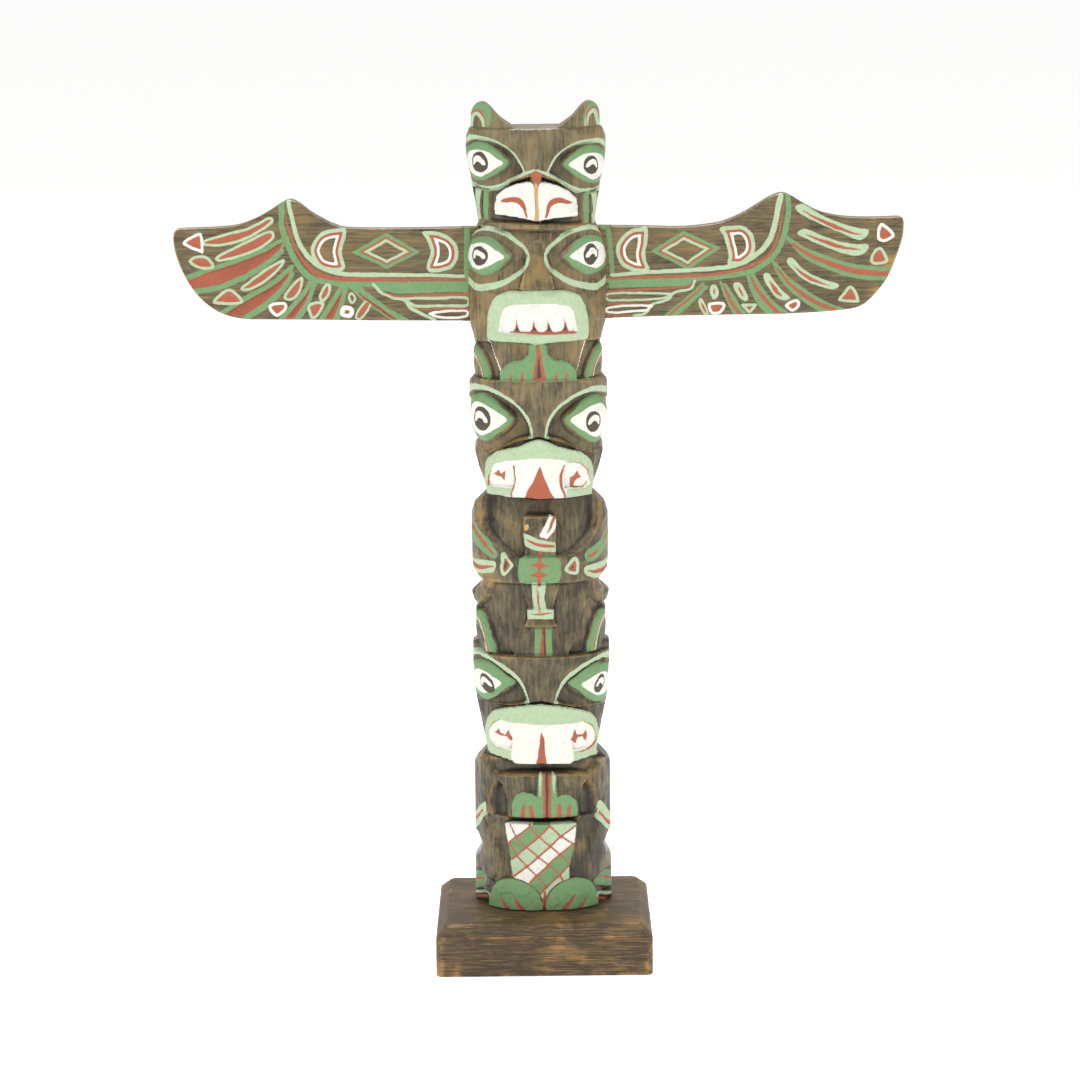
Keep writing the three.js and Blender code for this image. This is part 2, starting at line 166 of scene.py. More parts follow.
def stroke_distance(points, widths, u, z):
    """Distance to a stroke whose width runs evenly through the given widths"""
    p = np.array(points, float)
    length = np.concatenate([[0], np.cumsum(np.hypot(*np.diff(p, axis=0).T))])
    half = np.interp(length, np.linspace(0, length[-1], len(widths)), widths) / 2
    best = np.full(len(u), 1e9)
    for i in range(len(p) - 1):
        (u1, z1), (u2, z2) = p[i], p[i + 1]
        du, dz = u2 - u1, z2 - z1
        along = np.clip(((u - u1) * du + (z - z1) * dz) / (du * du + dz * dz + 1e-12), 0, 1)
        away = np.hypot(u - u1 - along * du, z - z1 - along * dz)
        best = np.minimum(best, away - half[i] - along * (half[i + 1] - half[i]))
    return best


def ramp(low, high, x):
    """A smooth step from 0 at the low value to 1 at the high one"""
    t = np.clip((x - low) / (high - low), 0, 1)
    return t * t * (3 - 2 * t)


def smooth_noise(u, z, cell, seed):
    """Value noise from -1 to 1 on a lattice of the given cell size"""
    rng = np.random.default_rng(seed)
    lattice = rng.uniform(-1, 1, NOISE_TABLE)
    a, b = u / cell + NOISE_START[0], z / cell + NOISE_START[1]
    i, j = np.floor(a).astype(int), np.floor(b).astype(int)
    s, t = ramp(0, 1, a - i), ramp(0, 1, b - j)

    def pick(di, dj):
        return lattice[(i + di) % NOISE_TABLE[0], (j + dj) % NOISE_TABLE[1]]

    low = pick(0, 0) * (1 - s) + pick(1, 0) * s
    high = pick(0, 1) * (1 - s) + pick(1, 1) * s
    return low * (1 - t) + high * t


def knife_facets(u, z, cell, tilt, seed):
    """Shallow tilted facets, as a knife leaves them"""
    rng = np.random.default_rng(seed)
    jitter = rng.uniform(-FACET_JITTER, FACET_JITTER, (*FACET_TABLE, 2))
    lean = rng.normal(0, tilt, (*FACET_TABLE, 2))
    i, j = np.floor(u / cell).astype(int), np.floor(z / cell).astype(int)
    best = np.full(len(u), 1e9)
    out = np.zeros(len(u))
    for di in (-1, 0, 1):
        for dj in (-1, 0, 1):
            a, b = (i + di) % FACET_TABLE[0], (j + dj) % FACET_TABLE[1]
            du = u - (i + di + 0.5 + jitter[a, b, 0]) * cell
            dz = z - (j + dj + 0.5 + jitter[a, b, 1]) * cell
            away = du * du + dz * dz
            closer = away < best
            best = np.where(closer, away, best)
            out = np.where(closer, lean[a, b, 0] * du + lean[a, b, 1] * dz, out)
    return out


# Marks of paint: colour, kind, points, widths, depth of the groove under it

def fill(colour, points, carve=0.0, smooth=True):
    """A filled outline"""
    return (colour, "fill", curve(points) if smooth else points, None, carve)


def band(colour, points, outer, inner, carve=0.0, smooth=True):
    """A band inside an outline, between two distances from it"""
    return (colour, "band", curve(points) if smooth else points, (outer, inner), carve)


def line(colour, points, *widths, carve=0.0):
    """A brush stroke through the points"""
    return (colour, "line", curve(points, closed=False), widths, carve)


def both(mark, *args, **options):
    """The same mark on the right and on the left"""
    colour, points, *rest = args
    return [mark(colour, points, *rest, **options), mark(colour, mirror(points), *rest, **options)]


def mark_distance(mark, u, z):
    """Distance to a mark, negative inside it"""
    _, kind, points, widths, _ = mark
    if kind == "line":
        return stroke_distance(points, widths, u, z)
    distance = outline_distance(points, u, z)
    if kind == "band":
        outer, inner = widths
        return np.maximum(distance + outer, -inner - distance)
    return distance


class Surface:
    """Points of a plan, with the paint and the grooves laid on them so far"""

    def __init__(self, u, z):
        self.u, self.z = u, z
        self.paint = {name: np.full(len(u), FAR) for name in ORDER}
        self.groove = np.zeros(len(u))

    def add(self, marks, lean=0.0, scope=None):
        across = smooth_noise(self.u, self.z, WOBBLE_CELL, SEEDS["paint_across"])
        along = smooth_noise(self.u, self.z, WOBBLE_CELL, SEEDS["paint_along"])
        u, z = self.u + WOBBLE * across, self.z + lean * self.u + WOBBLE * along
        for mark in marks:
            spots = near(mark[2], u, z)
            if scope is not None:
                spots = spots[scope[spots]]
            distance = mark_distance(mark, u[spots], z[spots])
            layer = self.paint[mark[0]]
            layer[spots] = np.minimum(layer[spots], distance)
            # What is painted later covers what is under it, so a groove follows its own mark
            if mark[4]:
                depth = (1 - np.exp(np.minimum(distance, 0) / GROOVE_SLOPE)) * mark[4]
                self.groove[spots] = np.maximum(self.groove[spots], depth)


# Cuts: inside an outline the wood is taken to a depth under the blank, over a sloping edge

SOCKET_REACH = (4, 34)
UNCUT_DEPTH = 2.0
SIDE_TURN = (33, 40)


def cut(half, depth, edge=0.9):
    """A cut across the centre line, from its right half"""
    return (whole(half), depth, edge)


def pair(outline, depth, edge=1.2):
    """A cut on the right, and the same one on the left unless it crosses the centre line"""
    return (outline, depth, edge)


def slope(low_z, low_depth, high_z, high_depth):
    """A depth that changes evenly with the height"""
    return lambda u, z: np.interp(z, [low_z, high_z], [low_depth, high_depth])


def rounded(low_z, low_depth, high_z, high_depth, radius, drop):
    """A sloping face that falls away towards its sides"""
    flat = slope(low_z, low_depth, high_z, high_depth)
    return lambda u, z: flat(u, z) + drop * (np.abs(u) / radius) ** 3


def eye(tip, top, outer, bottom, rim, rise):
    """An eyeball that bulges out of its socket"""
    outline = curve([tip, top, outer, bottom], 8)
    middle = ((tip[0] + outer[0]) / 2, (top[1] + bottom[1]) / 2)
    radii = ((outer[0] - tip[0]) / 2, (top[1] - bottom[1]) / 2)

    def dome(u, z):
        away = np.hypot((np.abs(u) - middle[0]) / radii[0], (z - middle[1]) / radii[1])
        return rim - rise * np.sqrt(np.clip(1 - away * away, 0, 1))

    return (outline, dome, 1.6)


def socket(brow, cheek, inner, outer, edge=1.4):
    """An eye socket, deepest beside the nose"""
    outline = np.vstack([curve(brow, 6, False), curve(cheek, 6, False)])
    return (outline, lambda u, z: inner + (outer - inner) * ramp(*SOCKET_REACH, np.abs(u)), edge)


def ear_arch(foot, top, low):
    """Outline of the ear at the side of a face, closed below at a given height"""
    height = top - foot
    return [
        (21.7, low), (21.8, foot), (23.2, foot + 0.32 * height), (25.4, foot + 0.58 * height),
        (28.4, foot + 0.82 * height), (33, top), (39, foot + 0.92 * height),
        (46, foot + 0.7 * height), (46, low),
    ]


def side_ear(foot, top):
    """Cuts of a hollow ear at the side of a face"""
    height = top - foot
    inner = [
        (26.2, foot), (27.4, foot + 0.28 * height), (30, foot + 0.52 * height),
        (34, foot + 0.66 * height), (44, foot + 0.4 * height), (44, foot),
    ]
    return [pair(ear_arch(foot, top, foot), 1.5, 1.2), pair(inner, 2.9, 1.2)]


OWL_CUTS = [
    cut([(43, 310), (43, 356)], slope(318, 2.4, 346, 1.1), 2),
    cut([(32, 313), (33, 329), (22, 327), (0, 334)], 5.2, 1.2),
    socket(
        [
            (41.5, 344.8), (34, 348), (26, 348.9), (19, 348), (13.5, 345.8), (9.5, 342.6),
            (5.3, 335.4),
        ],
        [
            (5.3, 335.4), (11.3, 331.3), (16.4, 328.6), (22, 327.2), (28, 327.4), (34, 328.8),
            (42, 331),
        ],
        4.6, 2.4,
    ),
    eye((11.4, 339.4), (27, 347.4), (43, 339), (26.5, 330.6), 2.5, 1.7),
    (whole([
        (0, 329.8), (3.2, 331.2), (8.5, 330.2), (14.4, 327.6), (18.4, 324.6), (19.2, 320.5),
        (17.9, 316.2), (9.6, 315.7), (4.3, 314.9), (0, 314),
    ]), rounded(315, 0.0, 331, 2.8, 19.2, 2.0), 0.9),
    cut([(2.6, 329), (2.2, 335.6), (0, 336.6)], 1.7, 1.0),
    pair([(22.2, 312), (22.2, 326), (27, 326.6), (27, 312)], 3.6, 1.0),
    pair([(27.4, 312), (28, 326.4), (33, 327), (32, 312)], 3.0, 1.0),
]

OWL_PAINT = [
    *both(line, "mint", [
        (43, 345), (34, 348.5), (26, 348.9), (19, 348.2), (13.5, 346), (9.5, 343), (7, 339.6),
        (5.2, 335),
    ], 2.1, 2.2, 2.1, 1.9),
    *both(line, "mint", [
        (0.8, 336.2), (6.2, 333.9), (11.3, 331.3), (16.4, 328.5), (22, 327.1), (28, 327.3),
        (34, 328.6), (43, 331.4),
    ], 1.1, 1.7, 2.2, 2.4, 2.2),
    *both(fill, "green", [
        (11.6, 339.4), (16.5, 343.8), (21, 346.3), (26.5, 347.3), (34.7, 345.4), (43, 341),
        (43, 336.6), (32, 332.2), (26, 330.5), (19, 332.9), (14, 336.3),
    ]),
    *both(fill, "white", [
        (13.3, 338.8), (16.5, 341.2), (20.5, 343.1), (26.3, 343.8), (33.6, 342.2), (38.8, 338.2),
        (32.8, 334.2), (26.3, 332.1), (21.3, 333.6), (16.5, 336.5),
    ]),
    *both(fill, "white", [
        (0.9, 328.4), (3, 331), (6, 330.6), (11.2, 328.9), (16, 326.5), (18.6, 323.6), (19, 320.3),
        (17.7, 316.5), (12.1, 316.1), (6.9, 315.3), (3.5, 314.6), (0.8, 313.9),
    ]),
    fill("raw", [
        (-0.9, 329.6), (0.6, 329.6), (0.8, 322), (0.9, 314), (-0.7, 314), (-0.3, 321),
    ], 0.5),
    *both(fill, "red", [
        (15.6, 322.2), (12.4, 323.8), (8.5, 324.5), (5.6, 323.4), (4.1, 320.5), (3.2, 315.6),
        (4.1, 316.2), (5.2, 319.4), (7, 321.5), (9.6, 322.2), (12.8, 321.7),
    ], 0.7),
    fill("red", [
        (-2.3, 334.4), (0.2, 336), (2.5, 334.4), (1.5, 331.5), (0.2, 328.8), (-1.2, 331.6),
    ], 0.4),
    *both(line, "green", [(24.8, 326.8), (24.6, 320), (24.6, 312.4)], 3.8, 3.8, 2.6),
    *both(line, "mint", [(30.2, 326.8), (30, 320), (28.6, 312.2)], 4.2, 3.6, 1.8),
]


# The pale arch on an iris, in shares of the iris's half width and half height
IRIS_POINTS = 16
ARCH = [
    (-0.8, -0.25), (-0.76, 0.3), (-0.38, 0.6), (0.13, 0.55), (0.6, 0.18), (0.74, -0.22),
    (0.4, -0.26), (0.1, -0.02), (-0.24, 0.06), (-0.5, -0.14), (-0.6, -0.3),
]


def pupil(u, z, half_u, half_z, tilt=0.0):
    """A dark iris with a white arch on it, leaning outwards by the tilt"""
    side = -1 if u > 0 else 1

    def placed(points):
        return [(u + side * (x * half_u - tilt * y * half_z), z + y * half_z) for x, y in points]

    turns = [2 * math.pi * i / IRIS_POINTS for i in range(IRIS_POINTS)]
    iris = placed([(math.cos(turn), math.sin(turn)) for turn in turns])
    return [fill("dark", iris), fill("glint", placed(ARCH))]


OWL_PAINT += pupil(24.3, 338.5, 4.3, 4.1) + pupil(-24.9, 338.6, 4.9, 4.5)

WINGED_CUTS = [
    cut([(43, 258), (43, 313.6)], slope(297, 2.3, 313.6, 6.4), 1.2),
    socket(
        [
            (42, 303.4), (37.4, 306.4), (31, 309.6), (25.5, 310.8), (19.5, 310.2), (9.3, 305),
            (4.1, 299),
        ],
        [(4.1, 299), (6, 293.3), (10, 289.9), (15.5, 286.9), (21.5, 285), (29, 283.8), (42, 289)],
        5.0, 2.2, 1.2,
    ),
    eye((11.4, 298.5), (26, 307), (43, 298), (27, 290), 2.4, 1.9),
    pair([(6.6, 282), (4.6, 292), (8, 292), (16, 287.6), (23, 283.6), (23, 282)], 3.6, 1.6),
    cut([(0, 305), (2.6, 304), (4.6, 296), (7.3, 284.2)], slope(285, 0.2, 304, 3.2), 1.0),
    (whole([
        (0, 283.8), (13, 283.2), (18.6, 280.6), (22.4, 273.4), (23.2, 266), (22.4, 262), (8, 261),
        (0, 260.4),
    ]), rounded(261, 1.0, 284, 2.0, 23, 0.5), 0.9),
    cut([(0, 277.9), (11, 276.9), (15.2, 272.6), (16.2, 266), (15.4, 264.8)], 2.5, 0.8),
    cut([(43, 244), (43, 260.6)], 4.6, 0.8),
    cut([(22.6, 260.8), (16.2, 244)], 2.9, 0.7),
    cut([
        (1.4, 260.6), (3.4, 260), (4.0, 255.4), (7, 253), (13.5, 251.4), (16.4, 248), (16.8, 244),
    ], 1.7, 0.9),
    *side_ear(244.2, 259),
]


def gap_between_teeth(u, tip, foot, half):
    """Outline of a pointed gap that rises from the lower lip"""
    return [(u - half, foot), (u - 0.35 * half, foot + 1.8), (u - 0.16 * half, foot + 4), (u, tip),
            (u + 0.16 * half, foot + 4), (u + 0.35 * half, foot + 1.8), (u + half, foot)]


WINGED_PAINT = [
    *both(line, "mint", [
        (43, 302.6), (37.4, 306.2), (31, 309.3), (25.5, 310.6), (19.5, 310.1), (14, 308),
        (9.3, 305), (5.6, 302), (4.1, 299.2), (4.3, 296.2), (6, 293.3), (10, 289.9), (15.5, 286.9),
        (21.5, 285.2), (29, 284.2), (36, 285.8), (43, 290),
    ], 1.8, 2.0, 2.1, 1.9, 2.2, 2.8, 3.2, 2.8),
    *both(fill, "green", [
        (11.6, 298.5), (14, 301.6), (18, 305.1), (23.5, 307.1), (31.1, 306), (43, 300.8),
        (43, 294.2), (31.6, 291.1), (23.7, 290), (18, 292.2), (13.8, 295.8),
    ]),
    *both(fill, "white", [
        (13.2, 298.5), (17, 301.4), (21.5, 303.8), (27, 304.2), (33.3, 302.2), (38.8, 298.3),
        (33.3, 294.2), (27.5, 292.4), (21.9, 293.8), (17, 296.2),
    ]),
    *pupil(23.5, 298.9, 4.2, 4.7),
    *pupil(-25.7, 298.5, 5.1, 4.3),
    fill("mint", whole([
        (0, 283.9), (13.2, 283.3), (18.8, 280.5), (22.7, 273), (23.3, 266), (22.4, 262),
        (15, 261.2), (8, 260.9), (0, 260.2),
    ])),
    fill("white", whole([
        (0, 277.9), (7.6, 277.6), (13.3, 276.2), (15.5, 272.4), (16.3, 267.6), (15.9, 265.2),
        (8, 265),
    ])),
    line("red", [(-11.6, 265.5), (0, 265.1), (15.8, 265)], 0.7, 1.1, 1.1, carve=0.5),
    *[
        fill("red", gap_between_teeth(u, tip, 265.3, 2.1), 0.7, False)
        for u, tip in [(-8.8, 274.6), (-1.6, 272), (4.5, 273.1), (11.8, 272.8)]
    ],
    *[
        fill("dark", gap_between_teeth(u, tip, 266, 0.9), 0, False)
        for u, tip in [(-8.6, 272), (-1.4, 270), (4.7, 271), (12, 271)]
    ],
    line("white", [(-22.7, 261.4), (-16.2, 246.6)], 0.8),
    line("white", [(21.8, 260.6), (16.9, 246.2)], 0.8),
    *both(fill, "green", [
        (0.8, 260.8), (3.6, 260.3), (4.2, 255.6), (6.4, 253), (11, 252.6), (14.4, 251),
        (16.5, 248.4), (17, 243.6), (0.8, 243.6),
    ], 0, False),
    fill("red", [(0.5, 261.6), (-2.5, 244), (3.2, 244)], 0.9, False),
    fill("dark", [(0.5, 257.6), (-0.7, 245), (1.3, 245)], 0, False),
    *[
        line("red", [(u, 243.8), (u + 0.2, 248.6)], 1.3, 0.4, carve=0.5)
        for u in (-11.3, -6.5, 7.3, 11.5)
    ],
]


def ear_paint(foot, top):
    """Green, red and pale bands round the open ears at the sides of a face"""
    arch = ear_arch(foot, top, foot - 12)
    return [*both(band, "green", arch, 0.1, 2.2), *both(band, "red", arch, 2.2, 2.9),
            *both(band, "mint", arch, 2.9, 4.1)]


FANGED_CUTS = [
    cut([(43, 192), (43, 244.2)], slope(219, 2.2, 244, 0.4), 0.8),
    socket(
        [
            (43, 234.6), (34, 237.9), (26.8, 238.6), (20.6, 237.8), (15, 235.8), (9.5, 232),
            (6.6, 228.2), (4.6, 224), (3.6, 219.2),
        ],
        [(3.6, 219.2), (10.4, 217.4), (15.7, 214.7), (22.6, 211.7), (43, 213.4)], 6.0, 2.6, 1.1,
    ),
    eye((11.4, 226.4), (28, 237), (44, 226), (26.5, 215.6), 2.8, 2.0),
    cut([(33, 192), (38, 212), (22.6, 210.8), (10.4, 216.4), (0, 218.8)], 4.4, 0.9),
    (whole([
        (0, 217.9), (3.7, 216.8), (8, 214.8), (13.4, 213.2), (19.4, 211.7), (24, 208.4),
        (25.7, 203.5), (25.4, 197), (24.5, 192.2), (10, 191.5), (0, 191.2),
    ]), rounded(193, 0.0, 217, 1.7, 26, 0.9), 0.8),
    pair([
        (10, 196), (10, 206), (14, 207.4), (19.5, 205.7), (21.7, 202.3), (22, 197), (20, 195.9),
    ], 1.7, 0.8),
]

FANGED_PAINT = [
    *both(line, "mint", [
        (43, 235.6), (37, 238.4), (33, 239.1), (26.8, 239.7), (20.8, 239), (15, 236.8),
        (10.2, 233.5), (7, 230), (4.9, 226.4), (3.9, 222.5), (3.4, 218.9),
    ], 3.0, 2.9, 2.9, 2.7, 2.5, 2.2),
    *both(fill, "green", [
        (11.6, 226.5), (16.1, 231.4), (21.3, 235.2), (29.3, 236.9), (43, 231.4), (43, 221),
        (35, 217.1), (26.4, 215.7), (20, 218.2), (14.9, 222),
    ]),
    *both(fill, "white", [
        (13.4, 226.6), (18.6, 230), (24.5, 232.4), (31, 232.7), (37, 229.6), (41.6, 224.4),
        (33.5, 219.9), (26.5, 217.9), (19.4, 221.2), (15.3, 223.9),
    ]),
    *pupil(24.6, 225.0, 4.6, 4.7),
    *pupil(-26.2, 225.7, 5.5, 5.5),
    fill("mint", whole([
        (0, 217.9), (3.7, 216.9), (8, 214.8), (13.4, 213.2), (19.4, 211.7), (24, 208.4),
        (25.7, 203.5), (25.5, 197), (24.6, 192), (10, 191.2), (0, 190.9),
    ])),
    fill("white", whole([
        (0, 209.6), (7.5, 208.9), (13.4, 207.9), (19.5, 206), (21.9, 202.3), (22.2, 197.4),
        (20, 195.8), (10.6, 195.8), (9.9, 191), (5.4, 191),
    ]), 0, False),
    fill("red", [
        (0.3, 206.2), (-1, 202.6), (-2.4, 199.4), (-4.6, 195), (-6.1, 190.6), (6.6, 190.6),
        (4.1, 194.6), (2.4, 199.6), (1.4, 203),
    ], 0.8, False),
    line("red", [
        (-10.2, 205.4), (-9.7, 199.2), (-10.6, 195), (-10.5, 191),
    ], 1.3, 0.8, 0.8, 0.6, carve=0.6),
    line("red", [
        (10.4, 206.2), (8.6, 202.6), (8.4, 197.4), (9.4, 194), (9.9, 191),
    ], 0.9, 1.2, 1.1, 0.8, carve=0.6),
    fill("red", [
        (-21, 201.9), (-18.9, 202.1), (-17.5, 203.6), (-16.3, 201.9), (-14, 203.6), (-14.5, 201),
        (-14.7, 198.6), (-16.4, 200.7), (-18.4, 200.6),
    ], 0.4, False),
    fill("red", [
        (12.6, 196.3), (12.8, 200.8), (14.4, 201.4), (16.1, 204.2), (17.1, 201.6), (19, 200.7),
        (16.3, 200.2), (14.8, 198.6), (14.4, 196.4),
    ], 0.4, False),
    line("red", [(14.2, 196.5), (18.6, 196.4), (21.4, 199)], 0.9, 0.7, 0.5),
    line("red", [(11, 207.8), (17, 207), (21, 203.8), (22.1, 200)], 0.4, 0.6, 0.8, 0.5),
    line("red", [(-22.2, 196), (-22.3, 199.5), (-21.3, 203.4)], 0.8, 0.7, 0.3),
]

CHEST_CUTS = [
    cut([(43, 153), (43, 191.6)], slope(153, 1.5, 190, 0.9), 1.2),
    (whole(curve([
        (29, 193), (29.4, 187), (28.4, 180), (24.4, 174), (19, 169.4), (13.8, 166), (8.6, 165),
        (0, 165),
    ], 4, False)), slope(166, 4.6, 190, 7.6), 2.0),
    cut([(8.5, 153), (8.5, 165)], 0.9, 0.8),
    cut([(43, 119.5), (43, 152.4)], slope(119.5, 3.2, 152, 4.4), 0.9),
    pair([(22, 152.8), (24.4, 149), (26.6, 145.6), (32, 142), (43, 138.6), (43, 152.8)], 1.7, 1.8),
    pair([
        (12.5, 119.5), (15.6, 124.6), (18.6, 133.4), (21.4, 139.2), (25.8, 145.4), (31, 141.6),
        (43, 138), (43, 119.5),
    ], 5.0, 0.8),
    *side_ear(119.6, 138.6),
    cut([(7, 165), (7.2, 183.4)], 2.4, 0.7),
    cut([(8.6, 152.4), (5.2, 141)], 2.1, 0.7),
    cut([(5.7, 141.3), (5.7, 136.9)], 1.1, 0.7),
    cut([(5.6, 137), (7.1, 132.8)], slope(133, 0.6, 137, 1.3), 0.7),
]

CHEST_PAINT = [
    fill("mint", [
        (-8.4, 175.4), (-5, 174.9), (0, 172.6), (7, 170.9), (7.2, 167.4), (3, 167.1), (-2.5, 168),
        (-7.6, 171.2),
    ], 0),
    fill("red", [
        (-6.7, 173.2), (-3.4, 172.1), (-0.4, 171), (5.6, 170), (5.9, 168.9), (0, 169.4),
        (-4, 171.1),
    ], 0.5),
    line("white", [(4.9, 182.6), (2.8, 178.2), (1.0, 174.6)], 2.0, 2.2, 2.2),
    line("white", [(7.2, 181.5), (5.3, 177.2), (2.6, 173.8)], 1.4, 1.8, 1.8),
    line("red", [(6.1, 182.4), (4.3, 178.2), (2.9, 175.4)], 1.5, 1.2, 0.5, carve=0.5),
    fill("raw", [(-6.6, 179), (-4.9, 179.6), (-4.8, 177.4), (-6.5, 176.6)], 0.4),
    fill("green", [
        (-9, 159), (-8.3, 164.3), (-5.1, 165.6), (0, 165.5), (4.8, 165.3), (7.7, 163.4),
        (8.4, 158.8), (7.6, 154.2), (4.8, 152.3), (-5.2, 152.4), (-8.6, 154.2),
    ]),
    line("red", [(0.1, 166.8), (-0.4, 159), (-0.5, 152.2)], 1.5, 1.1, 1.5, carve=0.5),
    *[
        fill("red", [
            (-5.2, z - 0.1), (-2.6, z + 0.7), (-0.4, z + 1.7), (1.9, z + 0.7), (4.2, z - 0.1),
            (1.9, z - 0.6), (-0.4, z - 1.5), (-2.6, z - 0.6),
        ], 0.6, False)
        for z in (161.4, 156.8)
    ],
    line("mint", [(-2.2, 152.2), (-2.3, 146), (-1.6, 140.4)], 2.8, 2.2, 2.2),
    line("mint", [(0.9, 152), (0.4, 146), (1.3, 140.4)], 2.8, 2.2, 2.4),
    line("red", [(-1.6, 151.4), (-1.1, 146), (-0.5, 139.8)], 0.5, 1.0, 0.6, carve=0.6),
    fill("mint", [(-5.7, 141.1), (5.2, 141.1), (5.2, 136.7), (-5.8, 136.7)], 0, False),
    line("red", [(-5, 139.3), (0, 138.9), (4.9, 139.6)], 0.5, 1.0, 0.6, carve=0.3),
    fill("green", [
        (-43, 182.6), (-31.3, 176.9), (-22.6, 171.4), (-18.4, 166.2), (-20, 163.5), (-24, 164.6),
        (-35.3, 170), (-43, 175.6),
    ]),
    line("red", [
        (-43, 179.4), (-32.9, 174.6), (-25.4, 169.4), (-20.8, 165.8),
    ], 2.8, 2.7, 2.3, 1.2, carve=0.8),
    fill("green", [
        (43, 181), (34.9, 175.2), (29.7, 170.7), (20, 166.4), (19.4, 163), (23, 161.2),
        (29.6, 163.6), (37.8, 168.9), (43, 173.4),
    ]),
    line("red", [(43, 177.4), (36, 172.4), (31, 168.8)], 2.5, 2.0, 0.6, carve=0.7),
    line("red", [(27.4, 166.2), (24.6, 164.6), (21.8, 164)], 0.9, 1.9, 1.4, carve=0.5),
    fill("mint", [
        (-43, 166), (-38, 161.8), (-26.6, 162.2), (-20.2, 162.2), (-19.2, 160), (-21.1, 157.2),
        (-29.2, 155.6), (-36, 155.8), (-43, 159),
    ]),
    line("red", [
        (-43, 162), (-36, 158.8), (-28, 158.6), (-20.8, 159.9),
    ], 2.2, 2.3, 2.0, 0.7, carve=0.7),
    fill("mint", [
        (19.1, 158.6), (22.2, 160), (33, 160.6), (43, 163), (43, 155), (36, 153.4), (26, 153.4),
        (20.3, 155.4),
    ]),
    line("red", [
        (43, 159.4), (34, 156.8), (26, 156.4), (20.8, 157.6),
    ], 2.2, 2.2, 2.0, 0.6, carve=0.7),
    band("mint", [
        (-16.2, 166.6), (-13, 164), (-10.9, 161.4), (-12.3, 158.8), (-15.1, 156), (-17, 157.8),
    ], 0, 1.5),
    fill("red", [(-14.9, 164.3), (-12.6, 161.5), (-13.2, 159.6), (-15.3, 157.6)], 0.9),
    fill("dark", [(-14.9, 162.6), (-14.1, 161.4), (-14.9, 158.8), (-15.3, 160)], 0),
    band("mint", [
        (14.5, 164.6), (16.4, 160.8), (16, 156.6), (12.6, 156.5), (10, 158.7), (11.1, 161.6),
    ], 0, 1.5),
    fill("red", [(14.2, 162.7), (14.9, 160.4), (14.6, 158.1), (12.9, 158), (11.7, 159.1)], 0.9),
    fill("dark", [(13.9, 161), (14.2, 159.6), (13.6, 158.9), (12.9, 159.2)], 0),
    fill("green", [(-2.9, 132.6), (4.9, 132.6), (4.8, 118), (-2.9, 118)], 0, False),
    fill("red", [(0.4, 132), (2.3, 132), (2.3, 118), (-0.8, 118)], 0.9, False),
    line("dark", [(1.5, 132), (1.7, 118)], 0.9),
]

BEAVER_CUTS = [
    cut([
        (43, 70), (43, 122.4), (30, 123), (17, 121.2), (11, 119.4), (0, 119.2),
    ], slope(98, 2.4, 121, 0.5), 0.7),
    socket(
        [
            (43, 113.6), (34, 116.6), (28, 116.3), (22.5, 115), (17, 112.4), (12.2, 109),
            (9.2, 105.2), (7.6, 101.8), (6.4, 98.4),
        ],
        [(6.4, 98.4), (14.6, 96.3), (28.4, 96.2), (43, 97.4)], 5.4, 2.6, 1.1,
    ),
    eye((11.2, 106.8), (28, 115.2), (44, 105), (28, 96.6), 2.8, 1.9),
    cut([(34, 70), (40, 95), (14.6, 95.4), (0, 98.4)], 4.4, 0.9),
    (whole([
        (0, 97), (7, 96.2), (15, 94.7), (23.2, 92.4), (27, 89), (28.7, 83.8), (28.2, 78),
        (26.2, 72.7), (18.6, 71.6), (12.4, 70.4), (11.6, 69.4), (0, 69.4),
    ]), rounded(71, 0.0, 96, 1.9, 28, 0.9), 0.8),
    pair([
        (12.4, 76), (12.4, 87.2), (18, 87.6), (21.9, 86), (23.9, 82.4), (23.6, 78.6), (19.6, 76),
    ], 1.7, 0.8),
]

